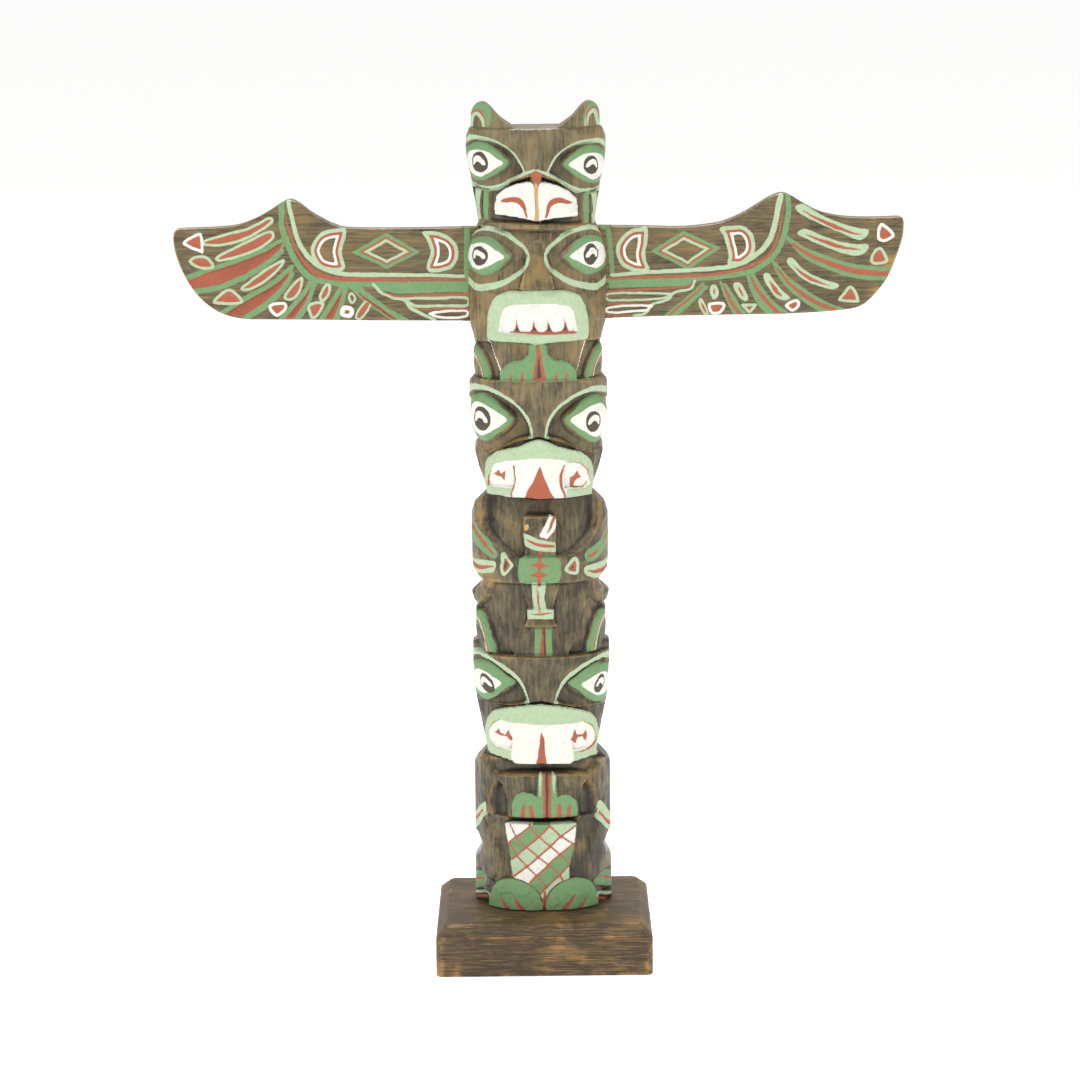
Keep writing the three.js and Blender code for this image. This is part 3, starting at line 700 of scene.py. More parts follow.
BEAVER_PAINT = [
    *both(line, "mint", [
        (43, 115.8), (37, 117.3), (33, 117.8), (28, 117.4), (22.6, 116.1), (16.8, 113.6),
        (11.9, 110.2), (9.2, 106.4), (7.7, 102.5), (6.4, 98),
    ], 2.9, 2.9, 2.8, 2.7, 2.7, 2.4),
    *both(fill, "green", [
        (11.6, 106.9), (15.8, 110.4), (21.1, 113.4), (28, 115), (36, 113.4), (43, 109.4),
        (43, 101.6), (37.4, 97.6), (28.3, 96.4), (20.5, 99.4), (15.9, 103.4),
    ]),
    *both(fill, "white", [
        (17.2, 105.7), (20.6, 107.9), (24.5, 109.6), (30.5, 110.2), (36.4, 108.8), (41.8, 105),
        (37.6, 101.2), (29.8, 99.6), (23.6, 101),
    ]),
    *pupil(27.6, 105.3, 4.0, 4.1, 0.35),
    *pupil(-25.5, 104.7, 4.6, 4.4, 0.35),
    fill("mint", whole([
        (0, 97), (7, 96.3), (15, 94.8), (23.2, 92.5), (27.1, 89), (28.9, 83.8), (28.4, 78),
        (26.4, 72.4), (18.6, 71.2), (11, 69.6), (0, 69),
    ])),
    fill("white", whole([
        (0, 87.8), (6, 88), (12, 88.1), (18.3, 88.5), (22.2, 86.2), (24.3, 83), (24, 78.6),
        (20, 76.1), (12.2, 75.4), (12.3, 70), (11, 68.4),
    ]), 0, False),
    fill("red", [
        (-0.1, 85.6), (-1, 81), (-1.6, 75), (-2.5, 68.6), (1.9, 68.6), (1.2, 74), (1, 80),
    ], 0.9, False),
    fill("red", [
        (-23.7, 83.6), (-20.6, 83), (-19.2, 84.9), (-18.4, 82.8), (-16, 81.9), (-14.2, 84.6),
        (-13.6, 82.2), (-12, 80.9), (-12.6, 79.9), (-14, 79.5), (-15, 81), (-18.4, 81.4),
        (-21, 82.2),
    ], 0.5, False),
    fill("red", [
        (11.1, 80.7), (13, 81.9), (14, 86.2), (15.1, 82.6), (18.2, 82.7), (19.9, 84.8),
        (20.6, 82.2), (19.3, 79.3), (17.6, 81.7), (15.2, 81.5), (13.8, 78.2), (12.9, 80),
    ], 0.5, False),
    line("red", [
        (18, 88.8), (22.6, 86.6), (24.9, 82.6), (24.2, 78.6), (19.6, 75.8), (12.4, 74.6),
    ], 0.3, 0.9, 0.6, 0.9, 0.7, 0.4),
    line("red", [(-19, 88.7), (-22.6, 86.4), (-24, 83.6)], 0.3, 0.6, 0.3),
]


def foot_dome(u, z):
    """Depth of the rounded foot, whose middle stands furthest out"""
    middle_u, middle_z, radius = 13.5, 2, 15
    away = ((np.abs(u) - middle_u) / radius) ** 2
    return 2.2 - 1.9 * np.sqrt(np.clip(1 - away - ((z - middle_z) / radius) ** 2, 0, 1))


BODY_CUTS = [
    cut([(43, 0), (43, 69.4)], 1.3, 0.8),
    (whole(curve([
        (27, 70.4), (25, 66.6), (22, 63.8), (15, 64.6), (0, 65.2),
    ], 4, False)), lambda u, z: 7.2 - 3.6 * ramp(13, 25, np.abs(u)), 2.4),
    pair([
        (14.4, 43.8), (15, 50.4), (17.6, 58.4), (20, 60.4), (23.6, 56), (25, 50), (24.4, 43.8),
    ], lambda u, z: 3.4 + 2.0 * ramp(16, 20, np.abs(u)), 1.2),
    cut([
        (1.3, 64.8), (1.9, 56.2), (5, 56.6), (9, 55.8), (12.6, 53.2), (14.4, 49), (14.6, 43.8),
    ], 0.6, 0.9),
    cut([(0, 6), (18, 12), (19, 18), (20, 28), (24, 36), (30, 43.8)], 3.2, 3.6),
    cut([(15.6, 41.1), (15.8, 43.8)], 8.4, 0.5),
    pair([
        (-17.3, 41.2), (15, 41.2), (13.8, 31.5), (11.7, 21.4), (11.4, 14.3), (4.5, 9), (0.3, 4.6),
        (-5.4, 9), (-13.9, 15.3), (-15.5, 29.8),
    ], 1.1, 0.9),
    pair([(44, 18), (34, 15.8), (28, 13.6), (22, 12), (25, 6), (26, 0), (44, 0)], 2.8, 1.4),
    pair([(44, 4.6), (36, 5.6), (30, 5), (27.4, 0), (44, 0)], 3.8, 0.9),
    pair([
        (0.9, 0), (0.9, 4.2), (3, 9.4), (7.8, 13.6), (13.6, 14.9), (19, 13.6), (23.4, 10.2),
        (26, 4.6), (26.2, 0),
    ], foot_dome, 1.0),
]

TAIL = [
    (-16.3, 41.3), (14, 41.3), (12.8, 31.5), (10.7, 21.4), (10.4, 14.7), (3.9, 9.7), (0.3, 5.5),
    (-4.8, 9.8), (-12.9, 15.9), (-14.5, 29.8),
]

# The lines between the tail's rows of colour, from its upper left corner down to its lower right
ROW_LINES = [
    [(-14.2, 32.3), (-11, 35.1), (-5, 40.5)],
    [(-13.1, 24.4), (-7, 30.4), (-1.7, 35.4), (2.4, 40.5)],
    [(-12.9, 15.9), (-6.8, 21.3), (-2.1, 26), (2.8, 30.8), (7.3, 35.4), (13.7, 39.9)],
    [(-6.4, 12.7), (-2.9, 16.8), (2, 22), (6.7, 26.9), (12.8, 31.5)],
    [(-1.2, 8.6), (1.1, 11.6), (6.6, 17.2), (11, 21.6)],
]
CROSS_LINES = [
    [(-13.8, 40.5), (-11, 35.1), (-7, 30.4), (-2.1, 26), (2, 22.1), (6.1, 17.5), (8.2, 14)],
    [(-5.8, 40.8), (-1.7, 35.4), (2.8, 30.8), (6.7, 26.9), (11, 21.6)],
    [(2.4, 40.8), (7.3, 35.4), (12.8, 31.2)],
    [(-14.4, 31.9), (-10.8, 25.9), (-6.8, 21.3), (-2.9, 16.8), (1.4, 11.6)],
    [(-12.9, 15.9), (-10.7, 14.3), (-6.1, 12.8)],
]
ROW_COLOURS = ["white", "green", "mint", "white", "green", "mint"]


def lattice_marks():
    """The crosshatched tail: rows of one colour, with red lines between and across them"""
    borders = []
    for points in ROW_LINES:
        p = np.array(points, float)
        borders.append([p[0] + 4 * (p[0] - p[1]), *p, p[-1] + 4 * (p[-1] - p[-2])])
    borders = [[(-60, 20), (0, 90)], *borders, [(-20, -30), (60, 20)]]
    marks = [fill(colour, [*upper, *lower[::-1]], 0, False)
             for colour, upper, lower in zip(ROW_COLOURS, borders, borders[1:])]
    lines = ROW_LINES + CROSS_LINES
    return marks + [line("red", points, 0.9, 0.85, carve=0.35) for points in lines]


HAND_LEFT = [
    (-12.7, 44.2), (-12.5, 50.6), (-11.2, 54.8), (-8, 56.4), (-4.5, 55.9), (-2.1, 54), (-1.7, 64.6),
    (0.3, 64.8), (0, 44.2),
]
HAND_RIGHT = [
    (2.7, 44.2), (3.2, 64.7), (5.6, 64.4), (5.5, 53.8), (7.7, 55.1), (10.8, 54.5), (13.9, 51.9),
    (15.2, 48.8), (15.2, 43.6),
]
FOOT_OUTLINE = [
    (1.1, -1), (1.1, 5), (3, 9.6), (7.7, 13.5), (13.6, 14.8), (18.8, 13.6), (23.2, 10.2), (26, 4.8),
    (26, -1),
]

BODY_PAINT = [
    fill("green", HAND_LEFT, 0, False),
    fill("green", HAND_RIGHT, 0, False),
    line("mint", [(-1.0, 64.6), (-0.9, 55)], 1.3, 0.5),
    line("mint", [(4.6, 64.4), (4.5, 55)], 1.4, 0.5),
    fill("red", [(0.1, 65.2), (3.5, 65), (3.1, 43.4), (0.1, 43.4)], 1.0, False),
    line("dark", [(1.8, 65), (1.7, 54), (1.4, 43.4)], 1.4, 1.1, 0.8),
    *[
        line("red", [foot, top], 2.3, 1.3, carve=0.6)
        for foot, top in [
            ((-8.4, 43.6), (-7.6, 49.9)), ((-4.2, 43.6), (-4.9, 50)), ((6.4, 43.6), (6.5, 50.3)),
            ((10.2, 43.6), (10.6, 49.6)),
        ]
    ],
    line("green", [(-41, 62.8), (-41, 55), (-41.3, 46.6)], 3.6, 3.2, 0.8),
    fill("mint", [
        (-28.7, 49.1), (-36.2, 44.1), (-43, 37.6), (-43, 31.6), (-33.4, 38), (-28.2, 43.7),
        (-27.3, 48.5),
    ]),
    line("red", [(-30.4, 45), (-37.7, 39.4), (-43, 34.6)], 0.6, 1.8, 1.9, carve=0.7),
    fill("mint", [
        (27, 49.6), (25.5, 47.7), (26, 43.3), (29.5, 38), (43, 29.8), (43, 37.2), (35.1, 43.7),
        (29.8, 48.1),
    ]),
    line("red", [(28.3, 44.4), (31.7, 40), (43, 33.6)], 0.7, 2.0, 2.0, carve=0.7),
    line("dark", [(30, 42.4), (34.4, 38.4), (40, 35)], 0.3, 0.6, 0.3),
    *both(fill, "green", FOOT_OUTLINE),
    *[
        line("red", [top, foot], 0.6, width, carve=0.7)
        for top, foot, width in [
            ((-18.8, 5.7), (-15, 0), 2.6), ((-12.3, 6.5), (-8.6, 0), 2.6),
            ((13.1, 7.4), (8.3, 0.6), 2.8), ((18.5, 5.6), (15.4, 0.4), 1.4),
        ]
    ],
    line("red", [(0.6, 9.6), (0.2, 4), (0, -1)], 0.8, 1.6, 2.2, carve=0.8),
    line("dark", [(0.2, 5.4), (0, -1)], 0.4, 1.4),
    fill("green", [
        (25.1, 11.3), (24.3, 13.3), (29, 15.1), (36.7, 14.6), (43, 11), (43, 5.8), (30, 8.3),
        (25.1, 10.2),
    ]),
    line("red", [(26.5, 12.5), (31.3, 12.3), (43, 8.6)], 0.5, 1.2, 1.4, carve=0.6),
    line("mint", [(24.6, 4.9), (28.8, 4.9), (35.4, 3.4), (43, 1.6)], 1.2, 1.7, 1.6, 1.0),
    line("red", [(23.4, 3.5), (27.8, 2.6), (36.3, 0.5)], 0.5, 1.2, 1.3, carve=0.6),
    fill("green", [
        (-43, 12.2), (-36.7, 14.7), (-31.1, 14.1), (-30.5, 10.8), (-37.3, 6.2), (-43, 5.4),
    ]),
    line("red", [(-43, 8.9), (-37, 10.8), (-31.2, 11.5)], 1.6, 1.5, 0.4, carve=0.6),
    line("mint", [(-43, 2.9), (-31.7, 5.4), (-27.3, 3.9), (-26.4, 1.2)], 1.2, 1.5, 1.4, 0.8),
    line("red", [(-43, 1.2), (-30.5, 3.2), (-27.9, 1.4)], 1.7, 1.3, 0.5, carve=0.6),
]

# Each figure: its foot and top in the plan, its lean, its cuts and its paint
FIGURES = [
    (-9, 69.4, 0.0, BODY_CUTS, BODY_PAINT), (69.4, 119.4, 0.03, BEAVER_CUTS, BEAVER_PAINT),
    (119.4, 191.4, 0.0, CHEST_CUTS, CHEST_PAINT + ear_paint(119.8, 138.4)),
    (191.2, 244.2, 0.022, FANGED_CUTS, FANGED_PAINT),
    (244.2, 313.6, 0.0, WINGED_CUTS, WINGED_PAINT + ear_paint(244.3, 258.8)),
    (313.6, 400, 0.034, OWL_CUTS, OWL_PAINT),
]

# How far one figure's paint may reach into the next
FIGURE_OVERLAP = 0.5

# How far the sides are set back, seen from the front: heights and set-backs
SIDE_HEIGHTS, SIDE_DEPTHS = np.array([
    (0, 0.8), (2, 0.2), (20.6, 0.3), (24, 2.3), (28.8, 4.2), (34, 0.4), (65.6, 0.5), (68.2, 2.2),
    (73.8, 7.6), (78, 6.4), (82, 5), (89, 3.4), (96, 1.9), (108, 0.9), (111.4, 0.8), (112.6, 0.5),
    (122.4, 0.6), (123.6, 2.4), (130, 2), (138, 2.2), (139.6, 3.6), (142, 1.4), (145.4, 0.5),
    (149.4, 4.9), (152.6, 6), (156.5, 1.3), (160, 0.8), (182, 0.8), (186.2, 2.3), (192.6, 8.8),
    (198, 7.2), (204, 4.8), (209.8, 2.9), (213.5, 3), (216.5, 4.8), (221, 1.6), (227, 0.8),
    (233.4, 1.5), (234.6, 0.6), (241.5, 0.8), (244.6, 3.4), (250, 2.8), (256, 3.1), (258.5, 3.9),
    (262.7, 2.9), (268, 1.4), (278, 0.7), (297, 0.9), (306, 2.7), (313, 6.6), (321.5, 5.4),
    (330.8, 3.2), (340.5, 1.2), (345.5, 0.8), (350, 1), (354, 2.6),
], float).T


def carved_depth(u, z):
    """Depth of the carving under the blank"""
    depth = np.full(len(u), UNCUT_DEPTH)
    for _, _, lean, cuts, _ in FIGURES:
        leaned = z + lean * u
        for outline, target, edge in cuts:
            across = u if min(p[0] for p in outline) < 0 else np.abs(u)
            spots = near(outline, across, leaned, edge)
            distance = outline_distance(outline, across[spots], leaned[spots])
            share = 1 - ramp(-edge / 2, edge / 2, distance)
            level = target(u[spots], leaned[spots]) if callable(target) else target
            depth[spots] += (level - depth[spots]) * share
    side = np.interp(z, SIDE_HEIGHTS, SIDE_DEPTHS)
    return depth + (side - depth) * ramp(*SIDE_TURN, np.abs(u))


def blur(grid, cells):
    """Blur a grid that wraps round in its second axis"""
    reach = int(3 * cells)
    weights = np.exp(-0.5 * (np.arange(-reach, reach + 1) / cells) ** 2)
    weights /= weights.sum()
    padded = np.pad(grid, ((reach, reach), (0, 0)), mode="edge")
    rows = sum(w * padded[k:k + grid.shape[0]] for k, w in enumerate(weights))
    padded = np.pad(rows, ((0, 0), (reach, reach)), mode="wrap")
    return sum(w * padded[:, k:k + grid.shape[1]] for k, w in enumerate(weights))


# Meshes

def new_mesh(name, points, faces, attributes=None, sharp=35):
    """An object from points in millimetres, with float attributes on the points"""
    mesh = bpy.data.meshes.new(name)
    mesh.from_pydata((np.asarray(points) * MM).tolist(), [], faces)
    mesh.validate()
    for key, values in (attributes or {}).items():
        layer = mesh.attributes.new(key, "FLOAT", "POINT")
        layer.data.foreach_set("value", np.asarray(values, np.float32))
    mesh.shade_smooth()
    mesh.set_sharp_from_angle(angle=math.radians(sharp))
    piece = bpy.data.objects.new(name, mesh)
    bpy.context.scene.collection.objects.link(piece)
    return piece


def ring_faces(rows, count, start=0):
    """Four-sided faces between rows of points that close on themselves, upwards"""
    index = start + np.arange(rows * count).reshape(rows, count)
    a, b = index[:-1], np.roll(index, -1, axis=1)[:-1]
    c, d = np.roll(index, -1, axis=1)[1:], index[1:]
    return np.stack([a, b, c, d], axis=-1).reshape(-1, 4).tolist()


def fan(ring, hub, flip):
    """Triangles from a ring of points to the point in its middle"""
    sides = zip(ring, np.roll(ring, -1).tolist())
    return [(hub, b, a) if flip else (hub, a, b) for a, b in sides]


# Pole

COLUMN_STEP = 0.66
ROW_STEP = 0.66
BACK_COLUMNS = 20
EDGE_ROUNDING = 0.9
SIDE_ROUNDING = 1.0
WEAR_AND_SHADE_BLUR = 1.4
RECESS_BLUR = 9
FACET_CELL = 6.5
FACET_TILT = 0.05
FACET_LIMIT = 0.3
GRAIN_DEPTH = 0.05
GRAIN_CELL = 1.6
EAR_INSET = 0.3
EAR_ROUNDING = 0.5
EAR_RINGS = 16
TOP_RINGS = 30
EAR_OUTLINE = curve([
    (29.2, 0), (28.6, 4), (27.8, 7.4), (26.4, 9.6), (24.4, 10.8), (22.6, 11), (20.8, 10),
    (18.6, 7.8), (16, 4.8), (11.6, 1.6), (9, 0),
], 10, False)


def pole_angles():
    """Directions of the columns round the pole, 0 to the front and close together there"""
    quarter = math.pi / 2
    front = np.linspace(-quarter, quarter, int(round(2 * quarter * GIRTH / COLUMN_STEP)) + 1)
    back = quarter + quarter * (1 - np.cos(np.linspace(0, math.pi, BACK_COLUMNS))) / 2
    return np.concatenate([front, back[1:], -back[::-1][1:-1]])


def blank(angle):
    """The uncarved log: half an ellipse in front, flat with round corners behind"""
    across, along = np.sin(angle), np.cos(angle)
    power = np.where(along < 0, 0.5, 1.0)
    half = np.where(along < 0, BACK_DEPTH, FRONT_DEPTH)
    x = HALF_WIDTH * np.sign(across) * np.abs(across) ** power
    y = -half * np.sign(along) * np.abs(along) ** power
    return x, y


def set_in(angle, depth, side=0.0):
    """Points of the blank moved in by a depth, and nowhere wider than the side is there"""
    x, y = blank(angle)
    keep = 1 - depth / np.hypot(x, y)
    limit = HALF_WIDTH - side - SIDE_ROUNDING * 0.6
    over = np.maximum(np.abs(x * keep) - limit, 0) / SIDE_ROUNDING
    drop = SIDE_ROUNDING * (over - 1 + np.exp(-over))
    return np.sign(x) * (np.abs(x * keep) - drop), y * keep + MIDDLE_Y


def ear_height(x):
    """Height of the ears over the head's flat top"""
    outline = EAR_OUTLINE[np.argsort(EAR_OUTLINE[:, 0])]
    return np.interp(np.abs(x), outline[:, 0], outline[:, 1], left=0, right=0)


def ear_marks():
    """Arches of paint on the front of each ear, over x and height above the head's top"""
    left_arch = [(-28.8, 1.8), (-28.1, 5.7), (-25.9, 7.5), (-23.7, 7), (-22.1, 4.4), (-21.8, 0.4)]
    right_arch = [(22.0, 0.4), (22.6, 6), (24.8, 8.3), (26.8, 7.5), (27.8, 3.5)]
    return [
        fill("green", [
            (-29.6, 0), (-29.4, 6.1), (-27.9, 9.6), (-25.9, 11.4), (-22.8, 11.8), (-20.2, 10.5),
            (-19.1, 7), (-19.5, 2.6), (-21, -1), *left_arch[::-1],
        ], 0, False),
        line("red", left_arch, 0.5, 0.9, 0.5),
        line("mint", [
            (-28.2, 0.4), (-27.4, 4.8), (-25.6, 6.3), (-24.1, 5.4), (-22.8, 3.1), (-22.5, 0),
        ], 1.6, 1.5),
        fill("green", [
            (20.4, -1), (20.9, 5.3), (22.4, 8.8), (24.1, 11), (26.3, 10.8), (28.2, 8.6),
            (28.6, 4), *right_arch[::-1],
        ], 0, False),
        line("red", right_arch, 0.4, 0.8, 0.4),
        line("mint", [
            (21.8, 0), (22.8, 4.8), (24.7, 7.2), (26.3, 6.1), (27.4, 0.9),
        ], 1.7, 1.8, 1.6),
    ]


def painted_plan(u, z):
    """The pole's plan with the paint of all figures and the beaver's tail on it"""
    plan = Surface(u, z)
    for foot, top, lean, _, paint in FIGURES:
        leaned = z + lean * u
        plan.add(paint, lean, (leaned >= foot - FIGURE_OVERLAP) & (leaned < top + FIGURE_OVERLAP))
    tail = Surface(u, z)
    tail.add(lattice_marks())
    add_tail(plan, tail)
    return plan


def head_top(angles, rim):
    """Rings of the head's flat top, from its rim inwards, with the ears standing on it"""
    top_x, top_y, top_z = [], [], []
    for step in range(EAR_RINGS + 1):
        inset = EAR_INSET + EAR_ROUNDING * (1 - math.sqrt(1 - (step / EAR_RINGS) ** 4))
        px, py = set_in(angles, rim + inset)
        top_x.append(px)
        top_y.append(py)
        top_z.append(ear_height(px) * (step / EAR_RINGS))
    outer_x, outer_y = top_x[-1], top_y[-1]
    for step in range(1, TOP_RINGS):
        keep = 1 - step / TOP_RINGS
        px = outer_x * keep
        top_x.append(px)
        top_y.append(MIDDLE_Y + (outer_y - MIDDLE_Y) * keep)
        top_z.append(ear_height(px))
    return top_x, top_y, top_z


def build_pole():
    angles = pole_angles()
    rows = int(round(DRAWN_TOP / ROW_STEP)) + 1
    angle, z = np.meshgrid(angles, np.linspace(0, DRAWN_TOP, rows))
    turn = np.abs(angle)
    front = turn <= math.pi / 2 + 1e-9
    u = np.clip(angle, -math.pi / 2, math.pi / 2) * GIRTH
    flat_u, flat_z = u.ravel(), z.ravel()
    plan = painted_plan(flat_u, flat_z)

    depth = carved_depth(flat_u, flat_z).reshape(z.shape)
    side = np.interp(z, SIDE_HEIGHTS, SIDE_DEPTHS)
    depth = np.where(front, depth, side * np.sin(turn))
    # Above zero on ridges, where the wood is rubbed bare; below zero in cuts, which the material
    # darkens as painted shade. The recess, deeper under wide surroundings, is darkened as painted
    # shade too.
    wear_and_shade = (blur(depth, WEAR_AND_SHADE_BLUR) - depth).ravel()
    recess = (depth - blur(depth, RECESS_BLUR)).ravel()

    # The knife's facets fade towards the back, and stay clear of the line where it begins
    fade = np.where(front, 1.0, ramp(math.pi, math.pi / 2, turn)).ravel()
    seam = 1 - np.exp(-((turn.ravel() - math.pi / 2) / 0.25) ** 2)
    facets = knife_facets(flat_u, flat_z * 0.8, FACET_CELL, FACET_TILT, SEEDS["pole_facets"])
    facets = np.clip(facets, -FACET_LIMIT, FACET_LIMIT) * fade * seam
    groove = np.where(front.ravel(), plan.groove, 0)
    grain = GRAIN_DEPTH * smooth_noise(flat_u, flat_z, GRAIN_CELL, SEEDS["pole_grain"])
    depth = depth + (facets + groove + grain).reshape(z.shape)
    for end in (z, DRAWN_TOP - z):
        close = np.clip(EDGE_ROUNDING - end, 0, EDGE_ROUNDING)
        depth = depth + EDGE_ROUNDING - np.sqrt(EDGE_ROUNDING ** 2 - close ** 2)
    x, y = set_in(angle, depth, side)

    count = len(angles)
    behind = np.abs(angles) > math.pi / 2 + 1e-6
    top_x, top_y, top_z = head_top(angles, depth[-1])
    top_z = [np.where(behind, 0, rise) + DRAWN_TOP for rise in top_z]

    xs = np.concatenate([x.ravel(), np.ravel(top_x), [0, 0]])
    ys = np.concatenate([y.ravel(), np.ravel(top_y), [MIDDLE_Y, MIDDLE_Y]])
    zs = np.concatenate([flat_z, np.ravel(top_z), [DRAWN_TOP, 0]])
    total_rows = rows + len(top_x)
    points = np.stack([xs * UNIT, ys * UNIT, FOOT + zs * UNIT], axis=-1)
    top_hub, foot_hub = len(points) - 2, len(points) - 1
    last = list(range((total_rows - 1) * count, total_rows * count))
    faces = ring_faces(total_rows, count) + fan(last, top_hub, False)
    faces += fan(list(range(count)), foot_hub, True)

    ears = Surface(np.ravel(top_x), np.ravel(top_z) - DRAWN_TOP)
    ears.add(ear_marks())
    facing = np.tile(~behind, len(top_x)) & (np.ravel(top_z) > DRAWN_TOP + 0.02)
    facing &= np.repeat(np.arange(len(top_x)), count) <= EAR_RINGS
    attributes = {}
    for name in ORDER:
        on_pole = np.where(front.ravel(), plan.paint[name], FAR)
        on_ear = np.where(facing, ears.paint[name], FAR)
        attributes[name] = np.concatenate([on_pole, on_ear, [FAR, FAR]])
    for key, values in (("wear_and_shade", wear_and_shade), ("recess", recess)):
        attributes[key] = np.concatenate([values, np.zeros(len(points) - len(values))])
    return new_mesh("totem_pole_carving", points, faces, attributes, 50)


def add_tail(plan, tail):
    """Lay the lattice on the plan, inside the tail's outline"""
    outside = outline_distance(TAIL, plan.u, plan.z)
    for points in (FOOT_OUTLINE, mirror(FOOT_OUTLINE)):
        outside = np.maximum(outside, 0.6 - outline_distance(curve(points), plan.u, plan.z))
    for name in ("green", "mint", "white", "red"):
        plan.paint[name] = np.minimum(plan.paint[name], np.maximum(tail.paint[name], outside))
    plan.groove = np.maximum(plan.groove, tail.groove * (outside < -0.4))


# Wings: s runs outward from WING_DATUM beside the centre line, and z up from the pole's foot

LEFT_TOP = [
    (-7, 309.8), (0, 310), (23.6, 309.8), (50.9, 310.2), (58.1, 311.8), (63.5, 314.4),
    (68.9, 317.7), (73.3, 321.2), (77.4, 323), (81.5, 321.4), (87, 317.9), (93.5, 314.5),
    (100.9, 312), (110, 311.1), (119.1, 310.8), (126.6, 310.5), (128.7, 309.2), (129.3, 306),
]
LEFT_FOOT = [
    (-7, 268.6), (15.2, 268.8), (42.7, 269.2), (70.1, 269.8), (88.4, 270.1), (99.4, 270.5),
    (108.5, 272.9), (115.7, 277.5), (121.8, 284.5), (126.5, 293.7), (128.7, 301), (129.3, 306),
]
RIGHT_TOP = [
    (-7, 310), (15, 309.6), (33.3, 309.1), (47, 310.4), (53.4, 312), (60.6, 315.2), (67.2, 319.1),
    (71.7, 321.8), (77, 323.6), (81.3, 322.2), (86.3, 319.1), (93.6, 315.3), (102.8, 313.1),
    (112.8, 312.4), (122.8, 312.4), (129.6, 312.4), (130.9, 310),
]
RIGHT_FOOT = [
    (-7, 269), (24.1, 269.7), (51.6, 270), (75.7, 270.1), (92.2, 270.7), (103.2, 271.5),
    (110.5, 272.7), (116, 276), (123.2, 284.7), (127.6, 294.7), (130.4, 303.8), (130.9, 310),
]


def rings(points, *steps, smooth=True):
    """Bands of colour one inside another, each a colour and its width, the red ones cut in"""
    marks, outer = [], 0.0
    for colour, width in steps:
        carve = 0.5 if colour == "red" else 0.0
        marks.append(band(colour, points, outer, outer + width, carve, smooth))
        outer += width
    return marks


def leaf(points, rim=1.2):
    """A leaf with a pale rim round a red hollow"""
    return [*rings(points, ("mint", rim)), band("red", points, rim, 99, 0.6)]


def slim_leaf(points, core, rim="mint", width=1.2):
    """A pale leaf with a red line cut along its middle"""
    return [fill(rim, points), line("red", core, 0.4, width, 0.4, carve=0.5)]


def feather(top, red, bottom, edge=2.0):
    """A broad red groove between two green edges"""
    return [
        fill("green", top + bottom[::-1], 0, False),
        fill("red", red, 1.5, False),
        line("green", top, 0.8 * edge, edge, edge),
        line("green", bottom, 0.8 * edge, edge, edge),
    ]


def slim_feather(top, red, bottom, width):
    """A green feather with a red groove of its own course"""
    return [
        fill("green", top + bottom[::-1], 0, False),
        line("green", top, 1.0),
        line("green", bottom, 1.0),
        line("red", red, 0.5 * width, width, width, carve=0.7),
    ]


def dot(colour, points, rim=1.3):
    """A small figure of one colour with a red hollow"""
    return [*rings(points, (colour, rim)), band("red", points, rim, 99, 0.5)]


INNER_CRESCENT = [
    (19.5, 308.4), (13.7, 308.4), (7.4, 306.1), (4, 301.3), (4.2, 295.7), (7.7, 291.6), (16, 290.4),
    (17.8, 293.4), (15.8, 299.6), (17.6, 305.1),
]
OUTER_CRESCENT = [
    (53.4, 310.1), (58.6, 310.1), (64.2, 308.3), (68.4, 302.9), (68.1, 297.5), (64.5, 292.8),
    (58.1, 291.2), (53.8, 292.8), (55, 300.1), (53.2, 306.4),
]
CRESCENT_RINGS = (("mint", 1.7), ("red", 1.1), ("white", 1.2))
DIAMOND_RINGS = (("green", 1.5), ("red", 0.8), ("mint", 1.2))

